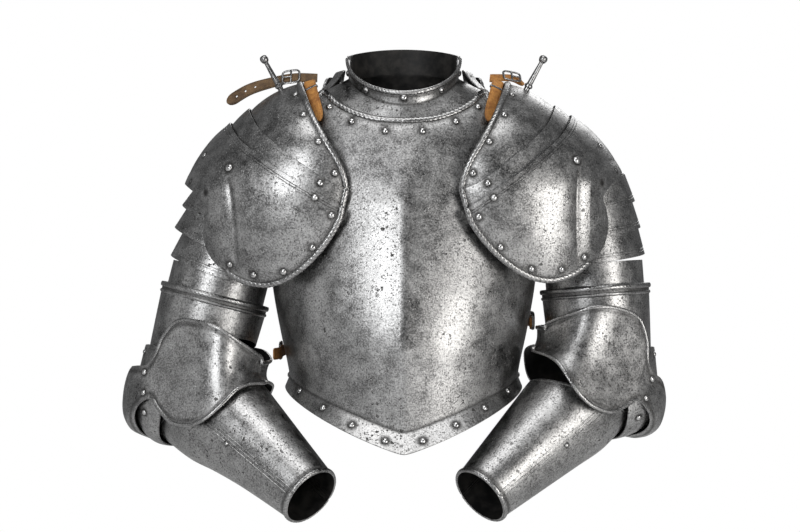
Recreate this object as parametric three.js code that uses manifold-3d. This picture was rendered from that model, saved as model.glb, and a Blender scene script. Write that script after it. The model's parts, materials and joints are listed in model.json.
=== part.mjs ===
// Half armour: cuirass, gorget, laminated pauldrons and full arms.
// Millimetres. The front faces -Y, the wearer's left side is +X, up is +Z, and the origin is the middle
// of the neck opening, where the gorget sits on the shoulders.

import * as THREE from "three";
import { mergeVertices } from "three/addons/utils/BufferGeometryUtils.js";
import Module from "manifold-3d";

const wasm = await Module();
wasm.setup();

// Plate stock, roped edges and rivets
const PLATE_THICKNESS = 1.6;
const ROPE_WIDTH = 7.5;
const ROPE_HEIGHT = 2.8;
const RIVET_RADIUS = 4.2;
const RIVET_HEIGHT = 2.6;
const RIVET_SIDES = 6;
const SHANK_SHARE = 0.6;
const RIVET_SHOULDER_SHARE = 0.8;
const RIVET_SHOULDER_RISE_SHARE = 0.6;
const CLEARANCE = 0.4;
const QUARTER_TURN = 90;
const ROPE_STEP_SHARES = [0, 0.16, 0.5, 0.84, 1];
const ROPE_RISE_SHARES = [0.25, 0.82, 1, 0.82, 0.1];

// Cuirass
const TORSO_TOP = 15;
const TORSO_HEIGHT = 421;
const TORSO_HALF_WIDTH = 174;
const CHEST_DEPTH = 166;
const BACK_DEPTH = 130;
const RIDGE_HEIGHT = 11;
const RIDGE_REACH = 105;
const BREAST_SIDE_ANGLE = 92;
const BACK_SIDE_ANGLE = 95;
const SIDE_LAP = 3.9;
const WAIST_DIP_SHARE = 0.128;
const FLANGE_REACH = 20;
const FLANGE_SIDE_REACH_SHARE = 0.3;
const FLANGE_DROP = 24;
const FLANGE_SIDE_DROP_SHARE = 0.6;
const SECTION_POWER = 0.9;
const LEVEL_SHARES = [0, 0.095, 0.178, 0.273, 0.392, 0.511, 0.615, 0.741, 0.841, 1];
const WIDTH_SHARES = [0.862, 0.908, 0.954, 0.989, 1, 0.983, 0.957, 0.902, 0.851, 0.793];
const DEPTH_SHARES = [0.37, 0.55, 0.64, 0.725, 0.815, 0.9, 0.962, 1, 0.985, 0.95];
const BACK_SHARES = [0.65, 0.79, 0.85, 0.94, 1, 0.98, 0.91, 0.79, 0.73, 0.73];
const EDGE_REACH_SHARES = [0, 0.2, 0.38, 0.52, 0.64, 0.69, 0.74, 0.8, 0.87, 0.95, 1.1];
const FRONT_EDGE_SHARES = [0.09, 0.083, 0.063, 0.037, 0.006, 0.036, 0.112, 0.226, 0.344, 0.428, 0.458];
const BACK_EDGE_SHARES = [0.03, 0.025, 0.01, -0.01, -0.03, 0.02, 0.1, 0.22, 0.34, 0.428, 0.458];

// Gorget
const COLLAR_HALF_WIDTH = 70;
const COLLAR_HALF_DEPTH = 71;
const COLLAR_FLARE = 2;
const CREASE_LEVELS = [-7, 26, 34];
const RIM_LEVELS = [8, 51, 64];
const SKIRT_HALF_WIDTH = 158;
const SKIRT_DEPTH_SHARE = 0.506;
const SKIRT_LEVELS = [-48, -5, -22];
const SKIRT_BOW = 5;
const GORGET_MIDDLE_LEVEL = -60;
const GORGET_SPAN_ANGLE = 90;
const GORGET_LAP_ANGLE = 5;
const GORGET_LAP_GAP = 2.7;

// Pauldrons: domes round two front-to-back pivot lines
const TOP_PIVOT = [107, -99];
const MAIN_PIVOT = [115, -117];
const TOP_RADIUS = 121.5;
const SECOND_RADIUS = 134;
const TOP_DEPTH = 131;
const SECOND_DEPTH = 138;
const MAIN_DEPTH = 146;
const MAIN_RADIUS = 138;
const MAIN_BEARINGS = [-200, -160, -125, -90, -60, -40, -25, -15, -5, 6.3, 12.4, 22, 31, 42, 60];
const MAIN_RADIUS_SHARES = [
  1.2, 1.25, 1.6, 1.69, 1.55, 1.37, 1.256, 1.22, 1.2, 1.181, 1.15, 1.095, 1.05, 1, 1,
];
const HOOP_POWER = 1.5;
const TOP_INNER_SHARES = [
  [-0.32, -0.112], [-0.304, 0.035], [-0.242, 0.2], [-0.112, 0.416], [0.019, 0.648], [0.119, 0.862],
  [0.177, 0.984],
];
const TOP_OUTER_SHARES = [
  [-0.2, -0.25], [0.03, -0.14], [0.27, 0.08], [0.5, 0.31], [0.68, 0.5], [0.79, 0.613],
];
const SECOND_INNER_SHARES = [
  [-0.356, 0.052], [-0.172, 0.124], [0.043, 0.273], [0.282, 0.454], [0.476, 0.626], [0.597, 0.802],
];
const SECOND_OUTER_SHARES = [
  [-0.27, -0.25], [0.03, -0.16], [0.28, 0.07], [0.52, 0.24], [0.72, 0.38], [0.857, 0.515],
];
const MAIN_INNER_POINTS = [
  [-42, -16], [-5, 6], [29, 28], [59, 50], [86, 72], [102.6, 92.4],
];
const MAIN_ROPE_POINTS = [
  [-42, -16], [-37, -33], [-21, -58], [2, -83], [28, -102], [51, -110], [71, -110], [91, -104], [109, -92],
];
const MAIN_OUTER_POINTS = [
  [109, -92], [122, -80], [132, -62], [135, -43], [133, -25], [130, -9], [144, 7], [162, 18],
];
const MAIN_CREST_POINTS = [
  [102.6, 92.4], [123, 75], [139, 57], [155, 34], [162, 18],
];

// Lower pauldron lames
const LAME_CENTRES = [
  [[226.4, -145], [233, -174.9], [238, -204.5]],
  [[221, -168.6], [228.5, -192.3], [231.4, -222.4]],
];
const LAME_LEANS = [[13, 10, 6.5], [29, 25, 20]];
const LAME_LENGTH = 37;
const LAME_TOP_RADIUS = 65.1;
const LAME_EDGE_RADIUS = 70.5;
const LAME_HALF_ANGLE = 116;
const LAME_CENTRE_Y = -2;

// Arms
const RING_CENTRES = [[244.5, -10], [241.5, -5]];
const RING_LEVELS = [-242, -252];
const UPPER_ARM_LENGTH = 116;
const PAULDRON_LIFTS = [2.5, -2.5];
const ARM_LEANS = [4.3, 14.3];
const ARM_FORWARD = 5;
const ARM_TURN = 35;
const ELBOW_BENDS = [58.5, 68];
const SLEEVE_RADIUS = 62.6;
const SLEEVE_LENGTH = 33;
const SLEEVE_DEPTH = 8;
const SLEEVE_BEAD = 2.8;
const SLEEVE_SHARES = [0, 0.12, 0.28, 1];
const BEAD_SHARES = [1, 1, 0, 0];
const CANNON_TOP_RADIUS = 68.5;
const CANNON_END_RADIUS = 62;
const CANNON_INNER_LEVEL = 73;
const CANNON_OUTER_LEVEL = 12;

// Elbows
const COUTER_RESTS = [28, 15];
const UPPER_LAME_SHARE = 0.2;
const LOWER_LAME_SHARE = 0.6;
const COUTER_REACH = 99;
const COUTER_INNER_REACH = 104;
const COUTER_HALF_WIDTH = 74;
const COUTER_ANGLES = [0, 22, 44, 65, 80, 88, 94, 106, 125, 150, 180];
const COUTER_TOP_LEVELS = [38, 36, 30, 22, 18, 30, 52, 72, 68, 46, 31];
const COUTER_BOTTOM_LEVELS = [-42, -41, -37, -32, -28, -29, -42, -60, -60, -12, 1];
const REAR_TOP_SHARE = 0.75;
const REAR_BOTTOM_SHARE = 0.45;
const COP_INNER_POWER = 5;
const COP_REAR_POWER = 2.2;
const COP_OUTER_POWER = 2.1;
const COP_NARROWING = 0.27;
const GROOVE_DEPTH = 9;
const BAND_TOP_FLARE = 7;
const BAND_BOTTOM_FLARE = 15;
const WING_START_ANGLE = 84;
const ELBOW_LAME_RADIUS = 72.5;
const ELBOW_LAME_HALF_WIDTH = 66.5;
const ELBOW_LAME_SWEEP = 84;
const UPPER_LAME_ANGLES = [-1, 29];
const LOWER_LAME_ANGLES = [-42, 10];
const LOWER_LAME_RADIUS_SHARE = 0.955;

// Lower cannons
const FOREARM_LENGTH = 243;
const FOREARM_LEVELS = [0, 30, 70, 110, 160, 243];
const FOREARM_RADII = [57, 59, 62.3, 57.3, 50, 38];
const FOREARM_OUTER_START = 0;
const FOREARM_INNER_START = 82;
const FOREARM_SEAM_GAP = 0.6;
const HINGE_LEVELS = [104, 206];
const KNUCKLE_RADIUS = 3.9;
const KNUCKLE_BORE = 1.9;
const KNUCKLE_LENGTH = 8;
const KNUCKLE_STAND = 3;
const HINGE_PIN_RADIUS = 1.4;
const HINGE_SIDES = 8;

// Shoulder pins, leathers and their fittings: points along each band's middle, and where its face looks
const PIN_SHARES = [0.955, 0.12];
const PIN_DIRECTION = [28, 0, 51];
const PIN_STAND = 1.5;
const PIN_HOLE_RADIUS = 4.3;
const PIN_SIDES = 10;
const PIN_PROFILE = [
  [0, 0], [5, 0], [5, 2], [3.7, 3], [3.7, 21], [5.3, 22.5], [5.3, 25], [3.6, 27], [2.7, 57], [4.2, 58.5],
  [5.4, 62], [4.6, 65.6], [0, 67.4],
];
const BAND_THICKNESS = 2.4;
const STRIP_THICKNESS = 1.8;
const TONGUE_WIDTH = 15;
const TONGUE_POINTS = [[120, -0.1084, 25], [117, -0.2289, 15], [112, -0.3855, -3], [104, -0.488, -27]];
const TONGUE_FACES = [[0.2, -0.5, 0.85], [0.3, -0.8, 0.5], [0.35, -0.9, 0.25], [0.35, -0.93, 0.1]];
const STRAP_WIDTH = 16;
const STRAP_POINTS = [
  [[110, 6, 26], [124, 4, 26.5], [139, 5, 25.5], [153, 9, 18]],
  [[110, 6, 26.3], [138, 6, 26.5], [163, 10, 22], [197, 14, 12], [226, 18, -5]],
];
const STRAP_FACES = [
  [[0, -0.6, 0.8], [0, -0.5, 0.86], [0, -0.5, 0.86], [0.2, -0.5, 0.8]],
  [[0, -0.6, 0.8], [0, -0.5, 0.86], [0.1, -0.6, 0.8], [0.2, -0.75, 0.6], [0.2, -0.85, 0.5]],
];
const STRIP_WIDTH = 12;
const STRIP_POINTS = [
  [84, 76, 20.5], [82, 48, 27], [80, 15, 33], [81, -12, 33], [88, -38, 22], [97, -63, 12],
];
const STRIP_FACES = [
  [0.2, 0.8, 0.6], [0.3, 0.4, 0.85], [0.3, 0.1, 0.95], [0.3, -0.2, 0.95], [0.4, -0.4, 0.8], [0.5, -0.7, 0.6],
];
const WAIST_WIDTH = 15;
const WAIST_LEVEL_SHARES = [0.7102, 0.8005];
const WAIST_PLACES = [
  [[0.9178, -30], [0.9276, -14], [0.9316, 2], [0.9201, 16], [0.8828, 38], [0.8236, 56]],
  [[0.9397, -41], [0.9023, -27], [0.8874, 2], [0.8759, 16], [0.8391, 38], [0.7793, 56]],
];
const WAIST_FACES = [
  [0.96, -0.25, 0], [1, -0.1, 0], [1, 0, 0], [0.97, 0.2, 0], [0.9, 0.42, 0], [0.8, 0.6, 0],
];
const BUCKLE_LENGTH = 25;
const BUCKLE_WIDTH = 24;
const BUCKLE_BAR = 3;
const BUCKLE_THICKNESS = 2.4;
const BUCKLE_SHARES = [0.62, 0.3];
const WAIST_BUCKLE_SHARES = [0.54, 0.46];
const STUD_PROFILE = [[0, 0], [2.6, 0], [2.6, 2.4], [4.2, 3], [3.4, 4.8], [0, 5.6]];
const GORGET_STUD_SHARES = [0.93, 0.55];

// Rivet places, front x and z, or shares of a plate
const NECK_RIVET_SHARES = [[0.535, 0.057], [0.3724, 0.0998], [0.1328, 0.1271]];
const FLANGE_RIVET_SHARES = [
  [0.869, 0.867], [0.7466, 0.8981], [0.5736, 0.9354], [0.3667, 0.9767], [0.1305, 1.0176],
];
const COLLAR_RIVETS = [[70.6, 32.8], [47.4, 11.8], [0, 1.8]];
const TOP_RIVETS = [[135.6, 6.1], [124.3, -18.2], [104.9, -51.3], [84.7, -90]];
const SECOND_RIVETS = [[102.5, -101.9]];
const SECOND_SHANK = 2.2;
const MAIN_SHANK = 3.2;
const LAME_RIVET = [243.4, -109.6];
const LAME_SHANK = 1.5;
const MAIN_RIVETS = [
  [109.2, -119.2], [89.8, -142], [115.1, -180.7], [152.4, -209.6], [190.2, -212.6], [219.8, -199.5],
  [214.7, -79.4],
];
const UPPER_LAME_RIVETS = [[0.24, 0.85]];
const COUTER_RIVET_SHARES = [[0.39, 0.76], [0.39, 0.24]];
const LOWER_LAME_RIVETS = [[0.24, 0.3]];
const STUD_SHARES = [[0.035, 0.44]];
const STUD_SCALE_SHARE = 0.6;
const SEARCH_STEPS = 8;
const SEARCH_ROUNDS = 4;

const STEEL = new THREE.MeshStandardMaterial({ color: 0x9a9a96, metalness: 0.95, roughness: 0.36 });
const BRIGHT_STEEL = new THREE.MeshStandardMaterial({ color: 0xb4b4b0, metalness: 0.95, roughness: 0.28 });
const DARK_LEATHER = new THREE.MeshStandardMaterial({ color: 0x5a4632, metalness: 0, roughness: 0.8 });
const LEATHER = new THREE.MeshStandardMaterial({ color: 0xb07a38, metalness: 0, roughness: 0.75 });

const lerp = (a, b, t) => a + (b - a) * t;
const radians = THREE.MathUtils.degToRad;
const clamp = THREE.MathUtils.clamp;
const signedPower = (value, power) => Math.sign(value) * Math.abs(value) ** power;

// A smooth line through values at uneven knots.
function through(knots, values, at) {
  const last = knots.length - 1;
  let i = 0;
  while (i < last - 1 && at > knots[i + 1]) i += 1;
  const slope = (k) => {
    const a = Math.max(k - 1, 0);
    const b = Math.min(k + 1, last);
    return (values[b] - values[a]) / (knots[b] - knots[a]);
  };
  const width = knots[i + 1] - knots[i];
  const t = clamp((at - knots[i]) / width, 0, 1);
  const t2 = t * t;
  const t3 = t2 * t;
  return (
    (2 * t3 - 3 * t2 + 1) * values[i] +
    (t3 - 2 * t2 + t) * width * slope(i) +
    (3 * t2 - 2 * t3) * values[i + 1] +
    (t3 - t2) * width * slope(i + 1)
  );
}

// A smooth line through evenly paced points, each an array of coordinates.
function along(points, share) {
  const last = points.length - 1;
  const knots = points.map((_, k) => k / last);
  return points[0].map((_, axis) => through(knots, points.map((p) => p[axis]), clamp(share, 0, 1)));
}

// Rows of a plate in one direction: plain ones, and the five of each roped border.
function rowsOf(count, ropedStart, ropedEnd) {
  const rows = [];
  if (ropedStart) {
    ROPE_STEP_SHARES.forEach((s, k) => {
      rows.push({ border: 0, inset: s * ROPE_WIDTH, rise: ROPE_RISE_SHARES[k] });
    });
  }
  for (let k = ropedStart ? 1 : 0; k <= count - (ropedEnd ? 1 : 0); k += 1) {
    rows.push({ border: -1, share: k / count, rise: 0 });
  }
  if (ropedEnd) {
    [...ROPE_STEP_SHARES].reverse().forEach((s, k) => {
      const rise = ROPE_RISE_SHARES[ROPE_RISE_SHARES.length - 1 - k];
      rows.push({ border: 1, inset: s * ROPE_WIDTH, rise });
    });
  }
  return rows;
}

// Where a row lies, as a share of the way across, when the borders pace at startPace and endPace mm a share.
function rowShare(row, startPace, endPace, span, roped) {
  if (row.border === 0) return row.inset / startPace;
  if (row.border === 1) return span - row.inset / endPace;
  const low = roped[0] ? ROPE_WIDTH / startPace : 0;
  const high = span - (roped[1] ? ROPE_WIDTH / endPace : 0);
  return lerp(low, high, row.share);
}

// A curved plate of even thickness. at(u, v) is its outer skin, inside is a point behind it.
function plate(at, options) {
  const { across, down, inside, roped = {}, closed = false, span = 1, thickness = PLATE_THICKNESS } = options;
  const fade = options.fade ?? (() => 1);
  const uRows = rowsOf(across, roped.u0, roped.u1);
  const vRows = rowsOf(down, roped.v0, roped.v1);
  const step = 1e-3;
  const pace = (p, q) => Math.max(p.distanceTo(q) / step, 1);
  const outer = [];
  const inner = [];
  const uCount = closed ? uRows.length - 1 : uRows.length;
  uRows.slice(0, uCount).forEach((uRow, i) => {
    outer.push([]);
    inner.push([]);
    vRows.forEach((vRow, j) => {
      const vGuess = (span * j) / (vRows.length - 1);
      const u = rowShare(
        uRow,
        pace(at(0, vGuess), at(step, vGuess)),
        pace(at(1, vGuess), at(1 - step, vGuess)),
        1,
        [roped.u0, roped.u1],
      );
      const v = rowShare(
        vRow,
        pace(at(u, 0), at(u, step)),
        pace(at(u, span), at(u, span - step)),
        span,
        [roped.v0, roped.v1],
      );
      const point = at(u, v);
      const du = at(Math.min(u + step, closed ? 2 : 1), v).sub(at(Math.max(u - step, closed ? -1 : 0), v));
      const dv = at(u, Math.min(v + step, span)).sub(at(u, Math.max(v - step, 0)));
      const normal = du.cross(dv).normalize();
      outer[i].push({ point, normal, rise: Math.max(uRow.rise, vRow.rise) * fade(u, v) });
    });
  });
  const middle = outer[Math.floor(uCount / 2)][Math.floor(vRows.length / 2)];
  const side = middle.normal.dot(middle.point.clone().sub(inside)) > 0 ? 1 : -1;
  outer.forEach((line, i) =>
    line.forEach((cell, j) => {
      const out = cell.normal.clone().multiplyScalar(side);
      inner[i].push(cell.point.clone().addScaledVector(out, -thickness));
      line[j] = cell.point.clone().addScaledVector(out, cell.rise * ROPE_HEIGHT);
    }),
  );
  return skinOf(outer, inner, closed, side > 0);
}

// Joins an outer and an inner grid of points into one closed skin.
function skinOf(outer, inner, closed, forward) {
  const rows = outer.length;
  const columns = outer[0].length;
  const positions = [...outer.flat(), ...inner.flat()].flatMap((p) => [p.x, p.y, p.z]);
  const index = [];
  const at = (layer, i, j) => layer * rows * columns + (i % rows) * columns + j;
  const quad = (a, b, c, d) => {
    const turned = forward ? [a, b, c, a, c, d] : [a, c, b, a, d, c];
    index.push(...turned);
  };
  const cells = closed ? rows : rows - 1;
  for (let i = 0; i < cells; i += 1) {
    for (let j = 0; j < columns - 1; j += 1) {
      quad(at(0, i, j), at(0, i + 1, j), at(0, i + 1, j + 1), at(0, i, j + 1));
      quad(at(1, i, j), at(1, i, j + 1), at(1, i + 1, j + 1), at(1, i + 1, j));
    }
    quad(at(0, i, 0), at(1, i, 0), at(1, i + 1, 0), at(0, i + 1, 0));
    quad(at(0, i, columns - 1), at(0, i + 1, columns - 1), at(1, i + 1, columns - 1), at(1, i, columns - 1));
  }
  if (!closed) {
    for (let j = 0; j < columns - 1; j += 1) {
      quad(at(0, 0, j), at(0, 0, j + 1), at(1, 0, j + 1), at(1, 0, j));
      quad(at(0, rows - 1, j), at(1, rows - 1, j), at(1, rows - 1, j + 1), at(0, rows - 1, j + 1));
    }
  }
  const geometry = new THREE.BufferGeometry();
  geometry.setAttribute("position", new THREE.Float32BufferAttribute(positions, 3));
  geometry.setIndex(index);
  return geometry;
}

function solidOf(geometry) {
  const bare = new THREE.BufferGeometry();
  bare.setAttribute("position", geometry.getAttribute("position"));
  if (geometry.index) bare.setIndex(geometry.index);
  const merged = mergeVertices(bare, 1e-4);
  return new wasm.Manifold(
    new wasm.Mesh({
      numProp: 3,
      vertProperties: new Float32Array(merged.attributes.position.array),
      triVerts: new Uint32Array(merged.index.array),
    }),
  );
}

function geometryOf(solid) {
  const mesh = solid.getMesh();
  const positions = [];
  for (let i = 0; i < mesh.numVert; i += 1) {
    positions.push(...mesh.vertProperties.subarray(i * mesh.numProp, i * mesh.numProp + 3));
  }
  const geometry = new THREE.BufferGeometry();
  geometry.setAttribute("position", new THREE.Float32BufferAttribute(positions, 3));
  geometry.setIndex([...mesh.triVerts]);
  return geometry;
}

// A turned shape whose axis runs along direction from a base point. profile is [radius, height] pairs.
function turned(profile, base, direction, sides) {
  const geometry = new THREE.LatheGeometry(profile.map(([r, h]) => new THREE.Vector2(r, h)), sides);
  const up = new THREE.Vector3(0, 1, 0);
  const turn = new THREE.Quaternion().setFromUnitVectors(up, direction.clone().normalize());
  return solidOf(geometry.applyQuaternion(turn).translate(base.x, base.y, base.z));
}

// A domed rivet through the plate whose outer skin is at(u, v). shank is how far it reaches beyond the plate.
function rivet(at, [u, v, shank = 0], inside, scale = 1) {
  const step = 1e-3;
  const point = at(u, v);
  const normal = at(u + step, v).sub(at(u - step, v)).cross(at(u, v + step).sub(at(u, v - step))).normalize();
  if (normal.dot(point.clone().sub(inside)) < 0) normal.negate();
  const radius = RIVET_RADIUS * scale;
  const sink = -PLATE_THICKNESS - 2 * CLEARANCE;
  const height = RIVET_HEIGHT * scale;
  const shoulder = [radius * RIVET_SHOULDER_SHARE, height * RIVET_SHOULDER_RISE_SHARE];
  const neck = radius * SHANK_SHARE;
  const foot = shank > 0 ? [[0, sink - shank], [neck, sink - shank], [neck, sink]] : [[0, sink]];
  const profile = [...foot, [radius, sink], shoulder, [0, height]];
  return turned(profile, point, normal, RIVET_SIDES);
}

function withRivets(geometry, at, places, inside, scale = 1) {
  let body = solidOf(geometry);
  places.forEach((place) => {
    body = body.add(rivet(at, place, inside, scale));
  });
  return geometryOf(body);
}

// The shares of a skin whose point lies nearest to a front place.
function placeOn(skin, [x, z], [uLow, uHigh, vLow, vHigh]) {
  let centre = [(uLow + uHigh) / 2, (vLow + vHigh) / 2];
  let reach = [(uHigh - uLow) / 2, (vHigh - vLow) / 2];
  for (let round = 0; round < SEARCH_ROUNDS; round += 1) {
    let least = Infinity;
    let best = centre;
    for (let i = -SEARCH_STEPS; i <= SEARCH_STEPS; i += 1) {
      for (let j = -SEARCH_STEPS; j <= SEARCH_STEPS; j += 1) {
        const u = clamp(centre[0] + (reach[0] * i) / SEARCH_STEPS, uLow, uHigh);
        const v = clamp(centre[1] + (reach[1] * j) / SEARCH_STEPS, vLow, vHigh);
        const point = skin(u, v);
        const miss = Math.hypot(point.x - x, point.z - z);
        if (miss < least) {
          least = miss;
          best = [u, v];
        }
      }
    }
    centre = best;
    reach = reach.map((r) => (2 * r) / SEARCH_STEPS);
  }
  return centre;
}

// Cuirass

function torsoRow(level, turn, width, depth) {
  return new THREE.Vector3(
    width * signedPower(Math.sin(turn), SECTION_POWER),
    depth * signedPower(-Math.cos(turn), SECTION_POWER),
    TORSO_TOP - level * TORSO_HEIGHT,
  );
}

function breastSkin(u, v) {
  const turn = radians(lerp(-BREAST_SIDE_ANGLE, BREAST_SIDE_ANGLE, u));
  const reach = Math.abs(Math.sin(turn));
  const top = through(EDGE_REACH_SHARES, FRONT_EDGE_SHARES, reach);
  const waist = 1 - WAIST_DIP_SHARE * Math.sqrt(reach * reach + 6e-4);
  const level = lerp(top, waist, Math.min(v, 1));
  const width = TORSO_HALF_WIDTH * through(LEVEL_SHARES, WIDTH_SHARES, level);
  const depth = CHEST_DEPTH * through(LEVEL_SHARES, DEPTH_SHARES, level);
  const point = torsoRow(level, turn, width, depth);
  point.y -= RIDGE_HEIGHT * Math.max(0, 1 - Math.abs(point.x) / RIDGE_REACH) ** 1.4 * clamp(level * 3, 0, 1);
  return flanged(point, turn, width, depth, Math.max(v - 1, 0));
}

function backSkin(u, v) {
  const turn = radians(lerp(-BACK_SIDE_ANGLE, BACK_SIDE_ANGLE, u));
  const reach = Math.abs(Math.sin(turn));
  const top = through(EDGE_REACH_SHARES, BACK_EDGE_SHARES, reach);
  const level = lerp(top, 1 - WAIST_DIP_SHARE, Math.min(v, 1));
  const width = TORSO_HALF_WIDTH * through(LEVEL_SHARES, WIDTH_SHARES, level) - SIDE_LAP;
  const depth = BACK_DEPTH * through(LEVEL_SHARES, BACK_SHARES, level);
  const point = torsoRow(level, turn, width, depth);
  point.y *= -1;
  return flanged(point, Math.PI - turn, width, depth, Math.max(v - 1, 0));
}

// Turns the waist edge out into the flange.
function flanged(point, turn, width, depth, share) {
  const out = new THREE.Vector3(Math.sin(turn) / width, -Math.cos(turn) / depth, 0).normalize();
  const drop = FLANGE_DROP * lerp(1, FLANGE_SIDE_DROP_SHARE, Math.abs(Math.sin(turn)));
  const reach = FLANGE_REACH * lerp(1, FLANGE_SIDE_REACH_SHARE, Math.sin(turn) ** 2);
  point.addScaledVector(out, reach * share);
  point.z -= drop * share;
  return point;
}

function torsoPlace([across, down]) {
  return [across * TORSO_HALF_WIDTH, TORSO_TOP - down * TORSO_HEIGHT];
}

function breastplate() {
  const inside = new THREE.Vector3(0, 0, TORSO_TOP - TORSO_HEIGHT / 2);
  const below = new THREE.Vector3(0, 0, -TORSO_HEIGHT * 2);
  const both = ([u, v]) => [[u, v], [1 - u, v]];
  const neck = NECK_RIVET_SHARES.map(torsoPlace)
    .flatMap((place) => both(placeOn(breastSkin, place, [0.5, 1, 0, 0.4])));
  const flange = FLANGE_RIVET_SHARES.map(torsoPlace)
    .flatMap((place) => both(placeOn(breastSkin, place, [0.5, 1, 1, 2])));
  const bare = plate(breastSkin, { across: 20, down: 7, span: 2, inside, roped: { v0: true } });
  return withRivets(withRivets(bare, breastSkin, neck, inside), breastSkin, flange, below);
}

function backplate() {
  const inside = new THREE.Vector3(0, 0, TORSO_TOP - TORSO_HEIGHT / 2);
  const fade = (u) => clamp(Math.min(u, 1 - u) * 20 - 1.2, 0, 1);
  return plate(backSkin, { across: 18, down: 8, span: 2, inside, roped: { v0: true }, fade });
}

// Gorget

const levelRound = ([front, side, back], turn) => {
  const c = Math.cos(turn);
  return lerp(side, c > 0 ? front : back, Math.abs(c) ** 1.5);
};

function gorgetSkin(turn, v, inset) {
  const crease = new THREE.Vector3(
    (COLLAR_HALF_WIDTH - inset) * Math.sin(turn),
    -(COLLAR_HALF_DEPTH - inset) * Math.cos(turn),
    levelRound(CREASE_LEVELS, turn) - inset,
  );
  if (v >= 1) {
    const rim = crease.clone();
    rim.x *= 1 + COLLAR_FLARE / COLLAR_HALF_WIDTH;
    rim.y *= 1 + COLLAR_FLARE / COLLAR_HALF_DEPTH;
    rim.z = levelRound(RIM_LEVELS, turn);
    return crease.lerp(rim, v - 1);
  }
  const edge = new THREE.Vector3(
    SKIRT_HALF_WIDTH * signedPower(Math.sin(turn), 0.85),
    -SKIRT_DEPTH_SHARE * CHEST_DEPTH * Math.cos(turn),
    levelRound(SKIRT_LEVELS, turn) - inset,
  );
  const bow = Math.sin(Math.PI * v);
  const point = edge.clone().lerp(crease, v);
  point.z -= SKIRT_BOW * bow;
  return point;
}

function gorgetHalf(front) {
  const inset = front ? 0 : GORGET_LAP_GAP;
  const middle = front ? 0 : 2 * QUARTER_TURN;
  const half = front ? GORGET_SPAN_ANGLE : GORGET_SPAN_ANGLE + GORGET_LAP_ANGLE;
  const skin = (u, v) => gorgetSkin(radians(middle + lerp(-half, half, u)), v, inset);
  const inside = new THREE.Vector3(0, 0, GORGET_MIDDLE_LEVEL);
  const fade = (u) => (front ? 1 : clamp(Math.min(u, 1 - u) * 30 - 1, 0, 1));
  const bare = plate(skin, { across: 14, down: 6, span: 2, inside, roped: { v1: true }, fade });
  if (!front) return bare;
  const inCollar = new THREE.Vector3(0, 0, CREASE_LEVELS[1]);
  const places = COLLAR_RIVETS.map((place) => placeOn(skin, place, [0.5, 1, 1, 2]));
  const mirrored = places.filter(([u]) => u > 0.51).map(([u, v]) => [1 - u, v]);
  return withRivets(bare, skin, [...places, ...mirrored], inCollar);
}

// Pauldrons

// Points on the unit dome, front end to crown and on to the rear end, blended between two edges.
function domeBlend(innerEdge, outerEdge, u, v) {
  const half = v <= 0.5;
  const w = 1 - (1 - (half ? v * 2 : (1 - v) * 2)) ** HOOP_POWER;
  const onDome = (edge) => {
    const [x, z] = along(edge, w);
    const reach = Math.hypot(x, z);
    const cap = Math.min(reach, 1);
    const depth = Math.sqrt(Math.max(1 - cap * cap, 0)) * (1 - w * w * w) ** 0.01;
    return new THREE.Vector3((x / reach) * cap, depth, (z / reach) * cap);
  };
  const point = onDome(innerEdge).lerp(onDome(outerEdge), u).normalize();
  return { x: point.x, z: point.z, y: half ? -point.y : point.y };
}

function visorSkin(pivot, radius, depth, innerEdge, outerEdge) {
  return (u, v) => {
    const p = domeBlend(innerEdge, outerEdge, u, v);
    return new THREE.Vector3(pivot[0] + radius * p.x, depth * p.y, pivot[1] + radius * p.z);
  };
}

const topSkin = visorSkin(TOP_PIVOT, TOP_RADIUS, TOP_DEPTH, TOP_INNER_SHARES, TOP_OUTER_SHARES);
const secondEdges = [SECOND_INNER_SHARES, SECOND_OUTER_SHARES];
const secondSkin = visorSkin(MAIN_PIVOT, SECOND_RADIUS, SECOND_DEPTH, ...secondEdges);

function mainRadius(x, z) {
  let bearing = THREE.MathUtils.radToDeg(Math.atan2(z, x));
  if (bearing > 100) bearing -= 360;
  return MAIN_RADIUS * through(MAIN_BEARINGS, MAIN_RADIUS_SHARES, bearing);
}

// The main plate: hoops between its inner edge and its outer edge, from the front rope over the crown.
function mainSkin(u, v) {
  const half = v <= 0.5;
  const w = 1 - (1 - (half ? v * 2 : (1 - v) * 2)) ** HOOP_POWER;
  const unit = ([x, z], crown) => {
    const reach = Math.hypot(x, z);
    const cap = crown ? 1 : Math.min(reach / mainRadius(x, z), 1);
    return new THREE.Vector3((x / reach) * cap, Math.sqrt(Math.max(1 - cap * cap, 0)), (z / reach) * cap);
  };
  const sideOf = (points, s) => unit(along(points, s), s >= 1);
  const inner = sideOf(MAIN_INNER_POINTS, w);
  const outer = sideOf(MAIN_OUTER_POINTS, w);
  const front = unit(along(MAIN_ROPE_POINTS, u), false);
  const crown = unit(along(MAIN_CREST_POINTS, u), true);
  const corner = (edge, s) => sideOf(edge, s);
  const point = inner
    .multiplyScalar(1 - u)
    .addScaledVector(outer, u)
    .addScaledVector(front, 1 - w)
    .addScaledVector(crown, w);
  point.addScaledVector(corner(MAIN_INNER_POINTS, 0), -(1 - u) * (1 - w));
  point.addScaledVector(corner(MAIN_INNER_POINTS, 1), -(1 - u) * w);
  point.addScaledVector(corner(MAIN_OUTER_POINTS, 0), -u * (1 - w));
  point.addScaledVector(corner(MAIN_OUTER_POINTS, 1), -u * w);
  point.normalize();
  const radius = mainRadius(point.x, point.z);
  const y = MAIN_DEPTH * point.y;
  return new THREE.Vector3(MAIN_PIVOT[0] + radius * point.x, half ? -y : y, MAIN_PIVOT[1] + radius * point.z);
}

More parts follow.
